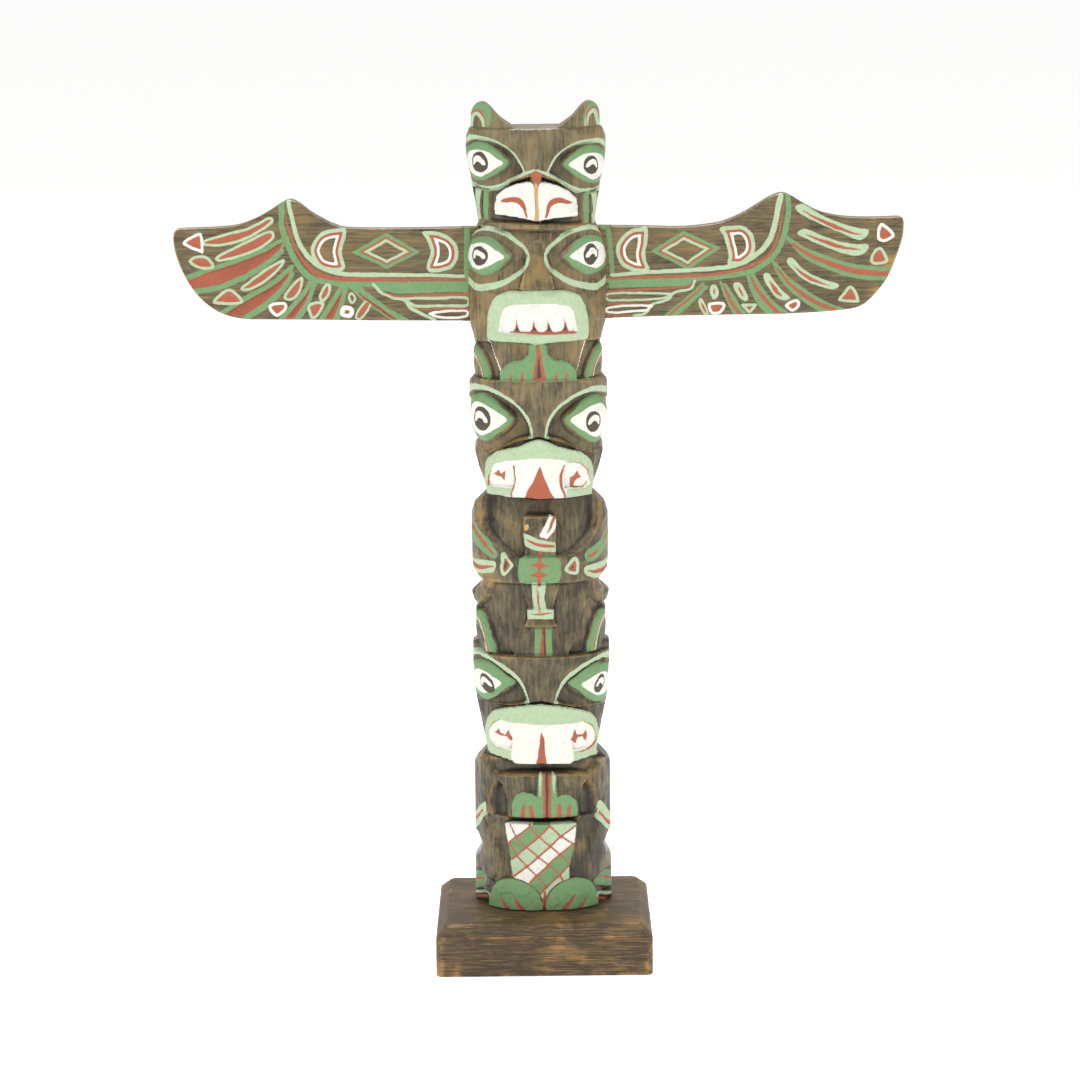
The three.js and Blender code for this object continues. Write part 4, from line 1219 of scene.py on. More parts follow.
LEFT_WING_MARKS = [
    line("green", [(-0.4, 310), (0, 292.3), (0.6, 280.5)], 2.4, 2.6, 1.8),
    *rings(INNER_CRESCENT, *CRESCENT_RINGS),
    *rings([
        (50.6, 299.6), (35.3, 308), (20.3, 299.5), (35.1, 292.2),
    ], *DIAMOND_RINGS, smooth=False),
    *rings(OUTER_CRESCENT, *CRESCENT_RINGS),
    # The long bands that bend up to the peak
    line("green", [
        (81, 322.6), (81.2, 315.7), (81, 310.3), (77.9, 301.2), (74.5, 294.6), (69, 288.6),
        (59.1, 286.3), (50.1, 285.6), (20, 285.2), (0.5, 285),
    ], 2.6, 2.6, 2.6, 2.6, 2.2, 2.2),
    fill("green", [
        (50.1, 286.5), (0.5, 286.5), (0.6, 281.7), (31.3, 281.1), (38.6, 283),
    ], 0, False),
    line("mint", [
        (78, 322.4), (76.4, 313.8), (74, 304.8), (68.8, 296.6), (61.7, 292), (52.8, 289.9),
        (41, 289.6), (23, 289.3), (1.6, 288.6),
    ], 2.0, 2.0, 2.0, 1.9, 1.6, 1.5),
    line("red", [
        (79.7, 318.4), (78.6, 311.1), (76.4, 303.9), (72.6, 296.7), (68, 291.4), (62.6, 288.9),
        (54.6, 287.7), (45.6, 287.5), (23.1, 287.3), (0.5, 286.9),
    ], 0.4, 1.2, 1.9, 1.9, 1.6, 1.2, 1.2, carve=0.8),
    *feather(
        [(123.4, 289.6), (113.1, 292.9), (99.4, 297.3), (88.5, 301.7), (79, 306.4)],
        [
            (123.4, 288), (113, 291.8), (99.4, 296.1), (88.5, 300.4), (80.4, 304.9), (82.4, 301),
            (88.7, 296.2), (97.9, 290.6), (108.8, 286.2), (121, 284),
        ],
        [(120.4, 282.6), (108.8, 284.8), (97.9, 289.2), (88.7, 294.5), (81.3, 300.4)],
    ),
    *feather(
        [(109, 273.6), (98.2, 279.8), (88.1, 285.1), (81.6, 289.7), (77.3, 293.6)],
        [
            (107.4, 273), (98, 278.5), (88.1, 283.8), (81.6, 288.2), (78, 292.2), (78.8, 289.4),
            (82.8, 284), (89.9, 277.8), (99.6, 271.6),
        ],
        [(98, 270.8), (89.2, 276), (81.8, 283.2), (77.1, 290.4)],
    ),
    *feather(
        [(83.4, 269.6), (77.5, 275.9), (71.9, 282.2), (69.1, 287)],
        [
            (81.6, 269.8), (76.6, 275.4), (71, 281.6), (69, 285.6), (69.8, 281.4), (73, 275.8),
            (77.6, 269.8),
        ],
        [(75.4, 269.8), (71.2, 275.8), (67.3, 286)],
    ),
    *feather(
        [(65.4, 269.6), (61.2, 275.7), (57.5, 281.1), (55.1, 286)],
        [
            (63.8, 269.6), (60, 275.4), (56.6, 280.6), (54.9, 284.4), (55.4, 281), (57.2, 275.6),
            (59.8, 269.6),
        ],
        [(57.6, 269.6), (55.3, 277.5), (53.3, 285)],
    ),
    *feather(
        [(52.4, 285.2), (46.7, 279.6), (37.8, 273), (31.8, 269)],
        [(50, 284), (45.4, 279.9), (36.6, 273.5), (31, 269.6), (33.2, 269.6), (38, 273), (46, 279)],
        [(50.2, 285.8), (43.1, 280.3), (35.1, 273.8), (26.4, 269)], 1.6,
    ),
    *leaf([
        (116, 305.6), (106, 308.6), (96.3, 311), (86.6, 315.6), (85.3, 312.9), (92.8, 307.8),
        (103.7, 303.6), (114.6, 303),
    ]),
    *leaf([
        (110.9, 298.2), (103.8, 302), (94.7, 306.4), (86.3, 309.6), (84.6, 306.3), (90.3, 301.9),
        (99.4, 298.2), (109, 296.2),
    ]),
    *leaf([
        (100.2, 284.5), (95.2, 288.4), (88.8, 292.9), (81, 297), (81.1, 294.1), (87.1, 288.3),
        (93.5, 284.3), (98.4, 282.9),
    ]),
    *leaf([(81.3, 280), (78.4, 284.6), (73.3, 289.2), (72.3, 286.7), (74.4, 281), (78.3, 278.5)]),
    *leaf([(65.6, 279.6), (64.9, 282.3), (62.3, 285.9), (60.2, 285), (60.9, 281), (63.9, 277.4)]),
    *leaf([
        (50, 271), (47.4, 276), (44.9, 278.4), (42.7, 277.3), (43.9, 273.4), (47.4, 269.6),
    ], 1.0),
    band("mint", [(52, 277.2), (52.8, 280.2), (51.2, 282), (49.1, 279.4), (50.4, 276.8)], 0, 1.0),
    # Small triangles
    *dot("white", [
        (125.2, 304.4), (121.6, 307.4), (116.7, 308.6), (116, 300.2), (118.2, 300.6), (121.7, 302),
    ]),
    *dot("mint", [
        (122.6, 296.3), (120.1, 298.7), (114.5, 298.6), (111.3, 293.9), (114.7, 292.5),
        (119.3, 293.4),
    ]),
    *dot("mint", [(112.6, 278.7), (105.7, 284.3), (99.5, 279.8), (100.5, 277.2), (110.3, 277.2)]),
    *dot("white", [(87.6, 276.9), (81, 278), (79.9, 275), (83.9, 271.4), (87, 273.4)]),
    *dot("mint", [(70.9, 275.8), (67.5, 277.9), (63.1, 277.2), (66.3, 271.4), (69.3, 270.4)]),
    *dot("white", [
        (56.4, 273.4), (54.8, 276), (51.2, 275.4), (50.2, 273), (52.2, 270.6), (55.4, 271),
    ], 1.9),
    # Stepped bands beside the pole
    line("red", [(0, 280.6), (20, 280.2), (31, 279.9), (37, 281.6)], 1.4, 1.3, 1.1, 0.5, carve=0.6),
    line("mint", [
        (41.4, 285.4), (38, 281.8), (32.6, 279.4), (27.8, 278.3), (25.3, 274.8), (19.8, 271.8),
        (14.6, 269.3),
    ], 1.2, 1.5, 1.5, 1.4, 1.3),
    band("mint", [
        (28, 279.2), (14.2, 279.6), (0.2, 279.5), (0.2, 275), (14.3, 274.9), (23.4, 275),
    ], 0, 1.3),
    line("red", [(0, 274.3), (16, 274), (22.6, 274.2)], 1.0, 0.9, 0.5, carve=0.5),
    band("white", [
        (17.4, 272.4), (9.8, 273.5), (0.2, 273.7), (0.2, 270.4), (6.2, 269.7), (13, 270),
    ], 0, 1.05),
]

RIGHT_WING_MARKS = [
    line("green", [(-2.3, 309.6), (0, 308.9), (0.9, 305.2), (1.7, 297.9), (2.3, 288.6)], 2.0),
    *rings([
        (18, 308.9), (14.6, 309), (10.5, 308.3), (7.3, 306.1), (5, 302.9), (4, 299.7), (4.7, 295.6),
        (6.7, 292.4), (10.4, 290.3), (15.4, 289.2), (18.6, 290.6), (17.5, 294.1), (16.8, 297.8),
        (17.6, 302.3),
    ], *CRESCENT_RINGS),
    *rings([
        (19.1, 298.8), (33.7, 307.4), (50.2, 299.9), (35.6, 290.2),
    ], *DIAMOND_RINGS, smooth=False),
    *rings([
        (49.7, 308.5), (55.2, 309.5), (59.7, 309.5), (63.4, 306.8), (65.2, 302.3), (64.8, 297.7),
        (62.5, 294.5), (58.9, 292.3), (54.3, 292.3), (53.2, 293.7), (53.6, 296.4), (52.6, 301),
        (51.5, 305.1),
    ], *CRESCENT_RINGS),
    # The long bands that bend up to the peak
    line("mint", [
        (2.1, 288.4), (15, 289.2), (26.9, 289.8), (37.8, 290.2), (47.9, 290.8), (55.2, 291.7),
        (60.7, 293.6), (63.6, 295.4), (68.2, 298.6), (71.8, 303.4), (73.6, 308.5), (74.7, 313.5),
        (75.6, 319), (76.5, 322.4),
    ], 1.5, 1.8, 2.2, 2.5),
    line("red", [
        (0.8, 286.9), (15, 287), (26.9, 287.3), (37.8, 287.6), (47.9, 288.2), (56.1, 289.5),
        (62.6, 291.3), (69.1, 294.6), (72.8, 298.5), (75, 303.3), (76.4, 309), (77.3, 314.4),
        (78, 321.2),
    ], 1.1, 1.2, 1.3, 1.2, 0.4, carve=0.6),
    line("green", [
        (0.8, 286), (15, 286), (26.9, 286.2), (38.8, 286.5), (48.8, 286.9), (56.1, 288),
        (62.6, 289), (65.9, 290.4), (71, 293.7), (74.8, 297.8), (77.5, 303.3), (78.9, 308.9),
        (80, 316.2), (79.6, 322),
    ], 2.4),
    fill("green", [
        (0.8, 286), (38.8, 285.8), (37.8, 284.7), (36, 283.8), (32.8, 283.1), (24.1, 283),
        (0.7, 282.6),
    ], 0, False),
    line("red", [
        (0.3, 281), (10.4, 281.6), (24.1, 282.1), (31.4, 282.5), (35.1, 282.9), (37.8, 284.7),
    ], 0.9, 0.8, carve=0.5),
    line("mint", [
        (38.8, 285.4), (37.7, 282.9), (35.5, 281.3), (31.4, 280.9), (28.7, 279.7), (27.8, 277.9),
        (25, 276.4), (20.9, 275.5), (18.6, 274.3), (18.1, 272.5), (15.8, 270.9), (11.7, 270.2),
    ], 1.1),
    *rings([
        (0.7, 280.6), (26.8, 280.3), (27.9, 278.8), (24.1, 277.2), (14.9, 276.8), (0.7, 276.8),
    ], ("mint", 1.0)),
    line("red", [(0.2, 275.4), (10.3, 275.5), (19, 275.9)], 0.8, 0.8, 0.4, carve=0.4),
    *rings([(0.7, 274.5), (19, 275.1), (18.6, 272.9), (14.9, 271.9), (0.7, 271.3)], ("white", 1.0)),
    line("red", [(0.2, 270.4), (6.6, 270.5), (12.1, 270.4)], 0.8, 0.4),
    # Feathers
    *slim_feather(
        [(42.2, 284.1), (36.9, 279.2), (31.4, 274.8), (25.7, 270.3)],
        [(42.4, 282.9), (36.4, 277.6), (31, 273.6), (27.6, 270.3)],
        [(44.1, 282.6), (40.6, 279.1), (36, 274.8), (30.3, 270)], 1.0,
    ),
    *slim_feather(
        [(50, 284.7), (51.6, 279.9), (53.9, 274.8), (56.2, 270.7)],
        [(51.2, 283.5), (53.6, 278.1), (56, 273.9), (58.6, 270.6)],
        [(52.1, 283.8), (55.3, 279), (58.5, 273.9), (61, 270.8)], 1.4,
    ),
    *slim_feather(
        [(62, 287.2), (63.2, 282.6), (65.1, 277.9), (68.3, 273.3), (71.1, 270.3)],
        [(63.6, 286.8), (66.2, 281.2), (70, 276.5), (74, 272.3), (76, 270.3)],
        [(64.6, 288.1), (68.7, 281.1), (73.8, 275.1), (79.3, 271)], 1.8,
    ),
    *slim_feather(
        [(74.2, 293), (78.3, 287.9), (83.8, 283.3), (90.3, 278.6), (97.7, 274.6), (104.6, 271.8)],
        [(75.2, 290.6), (80.2, 284.2), (86.6, 278.8), (94, 274.4), (101.4, 271.6)],
        [(73.1, 293.9), (76, 287), (81.6, 280.5), (88.5, 274.9), (94.9, 271)], 1.8,
    ),
    *slim_feather(
        [(78.7, 304.6), (86.5, 299.7), (96.6, 295.5), (105.7, 292.4), (114.9, 290.7), (125, 290.3)],
        [(81.9, 301), (90.1, 296), (101.2, 291.4), (110.3, 288.8), (124.6, 287.6)],
        [(79.6, 303.3), (87.4, 295.1), (94.8, 291.4), (103.9, 287.8), (113.1, 285.7), (123, 284.9)],
        2.4,
    ),
    # Leaves between them
    *slim_leaf([
        (47, 283.7), (48.4, 282.7), (49.4, 280), (48.5, 277.7), (46.8, 277.2), (45.5, 279.5),
        (45.3, 282.3),
    ], [(47.1, 281.8), (47.3, 279.1)]),
    *slim_leaf([
        (40.4, 277.3), (42, 277.5), (43.3, 275), (44.9, 270.6), (43.2, 270.1), (41.9, 271.8),
        (40.4, 275),
    ], [(41.5, 275.9), (43.8, 270.8)]),
    *slim_leaf([
        (56.6, 284.5), (59.1, 284), (61.2, 280.3), (62.3, 277.2), (60.9, 276.2), (58.6, 277.6),
        (56.6, 280.8), (55.7, 283.1),
    ], [(57.8, 282.4), (60.2, 278.2)]),
    *slim_leaf(
        [
            (69.2, 288), (71.4, 288.2), (73.8, 284.8), (77, 281), (79.7, 278.7), (80.9, 277.3),
            (78.4, 276.2), (75.2, 277.4), (71.9, 281.1), (69.6, 285.3),
        ],
        [(71.6, 285.2), (74.2, 281.1), (77.5, 277.8)], width=1.9,
    ),
    *slim_leaf(
        [
            (79.6, 294.8), (81.9, 295), (85.6, 291), (90.2, 287.8), (96.6, 285), (101.7, 283.5),
            (102.3, 282.1), (99.4, 280.9), (93.9, 282.2), (87.5, 285.1), (82.9, 288.8),
            (79.7, 292.5),
        ],
        [(81.9, 291.9), (86.6, 287.8), (92.1, 284.7), (98.3, 282.4)], width=1.6,
    ),
    *slim_leaf(
        [
            (84, 306.4), (86.4, 307.8), (90.1, 306.8), (96.5, 304.2), (103.8, 301.8),
            (110.2, 300.8), (114.5, 300.8), (115.3, 299), (113, 296.5), (109.3, 295.8),
            (102.9, 297.3), (95.6, 300.1), (89.2, 302.9), (84.6, 305.1),
        ],
        [(87.4, 305.4), (97.4, 301.6), (104.7, 299.3), (112.1, 298.4)], width=1.9,
    ),
    *slim_leaf(
        [
            (83.2, 317.8), (86.3, 318.8), (90, 316.6), (95.5, 313.3), (102.8, 310.1),
            (110.1, 308.1), (114.9, 307.2), (114.9, 304.9), (112, 302.7), (107.4, 303.9),
            (100.1, 307.2), (92.8, 310.4), (86.4, 313.7), (83.6, 316),
        ],
        [(86.4, 315.7), (92.8, 312.2), (101, 308.4), (107.4, 306), (112.2, 304.9)], width=1.9,
    ),
    # Small triangles
    *dot("white", [
        (44.7, 275.2), (50.7, 275.8), (52.3, 274.4), (51.1, 271.7), (48.8, 270.3), (45.6, 270.8),
    ]),
    *dot("mint", [
        (59.4, 274.8), (64.4, 275.1), (66.3, 274.6), (64.6, 272), (62.6, 270.6), (60.8, 272.5),
    ]),
    *dot("white", [
        (78.7, 274.4), (83, 276.8), (85.2, 275.4), (84.8, 272.9), (82.1, 271.1), (80.1, 272.1),
    ]),
    *dot("mint", [
        (107.2, 282.5), (109.5, 281.1), (111.6, 276.3), (110.5, 275), (103.1, 275.5),
        (102.5, 277.1), (104.5, 279.8),
    ]),
    *dot("white", [
        (120, 309.4), (122, 309.6), (126.1, 306.1), (126.6, 303.9), (123, 301.7), (119.8, 302.4),
        (119, 305.3),
    ]),
    *dot("mint", [
        (119.4, 299.2), (121.4, 299), (123.9, 294.3), (123.1, 292.3), (119, 291.4), (116.5, 292.4),
        (116.4, 295.3), (117.8, 298),
    ]),
]

WINGS = {
    "left_wing": (-1, LEFT_TOP, LEFT_FOOT, LEFT_WING_MARKS),
    "right_wing": (1, RIGHT_TOP, RIGHT_FOOT, RIGHT_WING_MARKS),
}

WING_GRID = 0.48
WING_ROWS = 96
WING_CROWDING = 0.035
WING_ROUNDING = 0.9
TIP_REACH = 13
TIP_COLUMNS = 48
WING_GRAIN_CELL = 1.2
WING_FACET_CELL = 7.0
WING_FACET_TILT = 0.03
WING_FACET_LIMIT = 0.12
WORN_TIP = 30
EDGE_WEAR = 0.40


def edge_height(outline, s):
    """Height of one long edge of a wing at each distance along it"""
    points = curve(outline, 10, False)
    return np.interp(s, np.maximum.accumulate(points[:, 0]), points[:, 1])


def build_wing(name):
    side, top_outline, foot_outline, marks = WINGS[name]
    low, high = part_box(name)
    back, front = high.y / MM / UNIT, low.y / MM / UNIT
    root = min(abs(low.x), abs(high.x)) / MM / UNIT - WING_DATUM
    tip = top_outline[-1][0]
    bend = tip - TIP_REACH
    inner = np.arange(root, bend, WING_GRID)
    outer = bend + (tip - bend) * np.sin(np.linspace(0, math.pi / 2, TIP_COLUMNS))
    s = np.concatenate([inner, outer[:-1]])
    foot, top = edge_height(foot_outline, s), edge_height(top_outline, s)
    share = np.linspace(0, 1, WING_ROWS)
    share = share - WING_CROWDING * np.sin(2 * math.pi * share)
    flat_s = np.repeat(s, WING_ROWS)
    flat_z = (foot[:, None] + (top - foot)[:, None] * share).ravel()

    plan = Surface(flat_s, flat_z)
    plan.add(marks)
    outline = np.concatenate([np.stack([s, foot], -1), np.stack([s, top], -1)[::-1]])
    inside = -outline_distance(outline, flat_s, flat_z)
    inside = np.where(flat_s < 2, np.maximum(inside, 1.0), inside)
    close = np.clip(WING_ROUNDING - inside, 0, WING_ROUNDING)
    rounding = WING_ROUNDING - np.sqrt(np.clip(WING_ROUNDING ** 2 - close ** 2, 0, None))
    seed = SEEDS["wing_grain"] + side
    grain = GRAIN_DEPTH * smooth_noise(flat_s * 0.2, flat_z, WING_GRAIN_CELL, seed)
    seed = SEEDS["wing_facets"] + side
    facets = knife_facets(flat_s * 0.6, flat_z, WING_FACET_CELL, WING_FACET_TILT, seed)
    facets = np.clip(facets, -WING_FACET_LIMIT, WING_FACET_LIMIT)
    y_front = front + rounding + plan.groove + grain + facets + 0.06
    y_back = back - rounding - grain * 0.6 - 0.05

    x = side * (WING_DATUM + flat_s)
    fronts = np.stack([x, y_front, flat_z], -1)
    backs = np.stack([x, y_back, flat_z], -1)
    points = np.concatenate([fronts, backs]) * UNIT + [0, 0, FOOT]
    columns = len(s)
    index = np.arange(columns * WING_ROWS).reshape(columns, WING_ROWS)
    sheet = np.stack([index[:-1, :-1], index[1:, :-1], index[1:, 1:], index[:-1, 1:]], -1)
    sheet = sheet.reshape(-1, 4)
    loop = np.concatenate([index[:-1, 0], index[-1, :-1], index[:0:-1, -1], index[0, :0:-1]])
    following = np.roll(loop, -1)
    half = columns * WING_ROWS
    wall = np.stack([loop, loop + half, following + half, following], -1)
    faces = np.concatenate([sheet, sheet[:, ::-1] + half, wall])
    if side < 0:
        faces = faces[:, ::-1]
    attributes = {paint: np.concatenate([plan.paint[paint], np.full(half, FAR)]) for paint in ORDER}
    # Rubbed along the lower edge and at the tip, hardly at all along the top
    handled = np.maximum(ramp(tip - 12, tip - 2, flat_s), ramp(9, 3, flat_z - foot.min()))
    edge_wear = np.where(inside < 1.0, EDGE_WEAR * (1 - inside), 0) * (0.25 + 0.75 * handled)
    # Painted shade on the upper wall of each groove, which faces downwards
    groove, height = (values.reshape(columns, WING_ROWS) for values in (plan.groove, flat_z))
    climb = np.gradient(groove, axis=1) / np.gradient(height, axis=1)
    upper_wall_shade = np.clip(-climb, 0, 0.9).ravel() * np.clip(1 - 0.5 * plan.groove, 0, 1)
    worn_tip = 0.34 * ramp(tip - WORN_TIP, tip, flat_s)
    # Above zero the wood is rubbed; below zero is painted shade in the grooves, strongest on their
    # upper walls
    wear_and_shade = edge_wear + worn_tip - 0.25 * plan.groove - 0.6 * upper_wall_shade
    attributes["wear_and_shade"] = np.concatenate([wear_and_shade, edge_wear])
    return new_mesh("carved_" + name, points, faces.tolist(), attributes, 40)


# Base

CHAMFER = 5.0
CORNER_RADIUS = 2.6
CORNER_POINTS = 7
SIDE_POINTS = 42
CORNERS = [(1, 1, 0), (-1, 1, 1), (-1, -1, 2), (1, -1, 3)]


def base_profile(height):
    """Set-back and height of each ring, from the underside up over the chamfer"""
    shoulder = height - CHAMFER
    profile = [(2.0, 0.0), (0.9, 0.0), (0.45, 0.12), (0.12, 0.45), (0.0, 0.9)]
    profile += [(0.0, z) for z in np.linspace(1.9, shoulder - 1.2, 14)]
    profile += [(0.08, shoulder - 0.5), (0.35, shoulder + 0.1)]
    profile += [(CHAMFER * f, height - CHAMFER * (1 - f)) for f in np.linspace(0.16, 0.86, 6)]
    top = [(CHAMFER - 0.3, height - 0.3), (CHAMFER + 0.25, height - 0.04), (CHAMFER + 1.2, height)]
    return profile + top


def base_ring(half_x, half_y, z):
    """Points round a rectangle with round corners"""
    rounds = []
    for sx, sy, start in CORNERS:
        for f in np.linspace(0, 1, CORNER_POINTS):
            turn = (start + f) * math.pi / 2
            rounds.append((sx * (half_x - CORNER_RADIUS) + CORNER_RADIUS * math.cos(turn),
                           sy * (half_y - CORNER_RADIUS) + CORNER_RADIUS * math.sin(turn)))
    ring = []
    for i, (x, y) in enumerate(rounds):
        ring.append((x, y, z))
        if i % CORNER_POINTS == CORNER_POINTS - 1:
            next_x, next_y = rounds[(i + 1) % len(rounds)]
            for f in np.linspace(0, 1, SIDE_POINTS)[1:-1]:
                ring.append((x + (next_x - x) * f, y + (next_y - y) * f, z))
    return ring


def build_base():
    _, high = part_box("base")
    half_x, half_y, height = high.x / MM, high.y / MM, high.z / MM
    shoulder = height - CHAMFER
    profile = base_profile(height)
    loops = [base_ring(half_x - inset, half_y - inset, z) for inset, z in profile]
    top = np.array(loops[-1])
    for keep in np.linspace(1, 0, 16)[1:-1]:
        loops.append((top * [keep, keep, 1]).tolist())
    points = np.array(loops).reshape(-1, 3)
    count = len(loops[0])
    # Hand-worn: the arrises and faces waver a little
    x, y, z = points.T
    waver = 0.10 * smooth_noise(x + y, z * 3 + y, 7.0, SEEDS["base_waver"])
    waver += 0.06 * smooth_noise(x * 1.3 - y, z * 2, 2.2, SEEDS["base_ripple"])
    radial = points[:, :2] / np.maximum(np.hypot(x, y), 1)[:, None]
    on_side = (z > 1) & (z < height - 0.02)
    points[:, :2] -= radial * (np.abs(waver) * on_side)[:, None]
    # Rubbed along the edges of the chamfer, at the foot and at the upright corners
    wear_and_shade = []
    for inset, level in profile:
        arris = max(math.exp(-((level - shoulder) / 0.7) ** 2),
                    math.exp(-((inset - CHAMFER) / 0.8) ** 2) * 0.7,
                    math.exp(-((level - 0.3) / 0.9) ** 2) * 0.6)
        wear_and_shade += [arris * 0.30] * count
    wear_and_shade = np.array(wear_and_shade + [0.0] * (len(points) - len(wear_and_shade)))
    corner = CORNER_RADIUS + 0.4
    upright = (np.abs(x) > half_x - corner) & (np.abs(y) > half_y - corner)
    wear_and_shade = np.maximum(wear_and_shade, np.where(upright & (z < shoulder), 0.26, 0))
    points = np.vstack([points, [0, 0, height], [0, 0, 0]])
    wear_and_shade = np.append(wear_and_shade, [0, 0])
    total = len(loops)
    faces = ring_faces(total, count)
    faces += fan(list(range((total - 1) * count, total * count)), len(points) - 2, False)
    faces += fan(list(range(count)), len(points) - 1, True)
    return new_mesh("chamfered_base", points, faces, {"wear_and_shade": wear_and_shade}, 60)


# Materials: how fine each pattern is, in waves to the metre

FIBRE = 1900.0
STREAK = 700.0
CLOUD = 66.0
WIDE_CLOUD = 24.0
RAGGED_EDGE = 1500.0
BRUSH = 620.0
STREAK_SHARE = 0.6
DARK_FOOT, PALE_TOP = -0.09, 0.03
PALE_HEIGHT = 0.36


class Nodes:
    """Short names for building a node tree"""

    def __init__(self, name):
        self.material = bpy.data.materials.new(name)
        self.material.use_nodes = True
        self.tree = self.material.node_tree
        self.tree.nodes.clear()

    def node(self, kind, **values):
        node = self.tree.nodes.new(kind)
        for key, value in values.items():
            setattr(node, key, value)
        return node

    def put(self, value, socket):
        """Link a socket, or set a constant"""
        if isinstance(value, bpy.types.NodeSocket):
            self.tree.links.new(value, socket)
        else:
            socket.default_value = value

    def math(self, operation, a, b=0.0, clamp=False):
        node = self.node("ShaderNodeMath", operation=operation, use_clamp=clamp)
        self.put(a, node.inputs[0])
        self.put(b, node.inputs[1])
        return node.outputs[0]

    def remap(self, value, low, high, to_low=0.0, to_high=1.0):
        node = self.node("ShaderNodeMapRange", interpolation_type="SMOOTHSTEP")
        for socket, item in zip(node.inputs, (value, low, high, to_low, to_high)):
            self.put(item, socket)
        return node.outputs[0]

    def mix(self, factor, a, b, blend="MIX"):
        node = self.node("ShaderNodeMix", data_type="RGBA", blend_type=blend)
        self.put(factor, node.inputs["Factor"])
        self.put(a, node.inputs[6])
        self.put(b, node.inputs[7])
        return node.outputs[2]

    def noise(self, vector, scale, detail=3.0, roughness=0.55, distortion=0.0):
        node = self.node("ShaderNodeTexNoise")
        self.put(vector, node.inputs["Vector"])
        for key, value in (("Scale", scale), ("Detail", detail), ("Roughness", roughness),
                           ("Distortion", distortion)):
            node.inputs[key].default_value = value
        return node.outputs["Fac"]

    def stretched(self, vector, x, y, z):
        node = self.node("ShaderNodeMapping")
        self.put(vector, node.inputs["Vector"])
        node.inputs["Scale"].default_value = (x, y, z)
        return node.outputs[0]

    def attribute(self, name):
        node = self.node("ShaderNodeAttribute", attribute_type="GEOMETRY", attribute_name=name)
        return node.outputs["Fac"]

    def bump(self, height, distance, strength=1.0, normal=None):
        node = self.node("ShaderNodeBump")
        node.inputs["Distance"].default_value = distance
        node.inputs["Strength"].default_value = strength
        self.put(height, node.inputs["Height"])
        if normal is not None:
            self.put(normal, node.inputs["Normal"])
        return node.outputs[0]

    def surface(self, colour, roughness, normal, specular=0.45):
        shader = self.node("ShaderNodeBsdfPrincipled")
        self.put(colour, shader.inputs["Base Color"])
        self.put(roughness, shader.inputs["Roughness"])
        self.put(normal, shader.inputs["Normal"])
        shader.inputs["Specular IOR Level"].default_value = specular
        output = self.node("ShaderNodeOutputMaterial")
        self.tree.links.new(shader.outputs[0], output.inputs[0])
        return self.material


def stained_wood(n, grain, stains, wear_low, raw_share, ochre_share, cloud_share):
    """Colour and height of stained wood, with painted shade in its cuts and hollows. grain gives
    the stretch along each axis.
    """
    coordinates = n.node("ShaderNodeTexCoord").outputs["Object"]
    along = n.stretched(coordinates, *grain)
    fibre = n.noise(along, FIBRE, 3.0, 0.65)
    streak = n.noise(along, STREAK, 3.0, 0.6, 0.2)
    cloud = n.noise(coordinates, CLOUD, 3.0, 0.6, 0.6)
    half_along = n.stretched(coordinates, *[g ** 0.5 for g in grain])
    wide_cloud = n.noise(half_along, WIDE_CLOUD, 2.0, 0.5, 0.3)
    streak_share = STREAK_SHARE * (1 - cloud_share)
    tone = n.math("MULTIPLY", streak, streak_share)
    tone = n.math("ADD", tone, n.math("MULTIPLY", fibre, 1 - cloud_share - streak_share))
    tone = n.math("ADD", tone, n.math("MULTIPLY", cloud, cloud_share))
    # Darker towards the foot, paler towards the top
    split = n.node("ShaderNodeSeparateXYZ")
    n.put(coordinates, split.inputs[0])
    height_tone = n.remap(split.outputs["Z"], 0.0, PALE_HEIGHT, DARK_FOOT, PALE_TOP)
    tone = n.math("ADD", tone, height_tone)
    colour = n.mix(n.remap(tone, 0.34, 0.64), *stains)
    golden_cloud = n.math("MULTIPLY", cloud, cloud_share)
    golden_streak = n.math("MULTIPLY", streak, STREAK_SHARE - cloud_share)
    golden = n.math("ADD", golden_cloud, golden_streak)
    ochre = n.math("ADD", golden, n.math("MULTIPLY", wide_cloud, 1 - STREAK_SHARE))
    colour = n.mix(n.math("MULTIPLY", n.remap(ochre, 0.49, 0.64), ochre_share), colour, OCHRE)
    wear_and_shade = n.attribute("wear_and_shade")
    ragged = n.math("ADD", wear_and_shade, n.math("MULTIPLY", n.math("SUBTRACT", streak, 0.5), 0.5))
    ragged = n.math("ADD", ragged, n.math("MULTIPLY", n.math("SUBTRACT", cloud, 0.5), 1.3))
    rubbed = n.remap(ragged, wear_low, wear_low + 0.35)
    colour = n.mix(n.math("MULTIPLY", rubbed, raw_share), colour, RAW)
    # Painted shade darkens the sharp cuts and the wide hollows, together with the stain that pools
    # there
    sharp = n.remap(wear_and_shade, -0.08, -0.8, 0.0, 0.45)
    wide = n.remap(n.attribute("recess"), 0.2, 2.4, 0.0, 0.4)
    colour = n.mix(n.math("ADD", sharp, wide), colour, GRIME_AND_SHADE)
    height = n.math("ADD", n.math("MULTIPLY", fibre, 0.5), n.math("MULTIPLY", streak, 0.6))
    return coordinates, colour, height


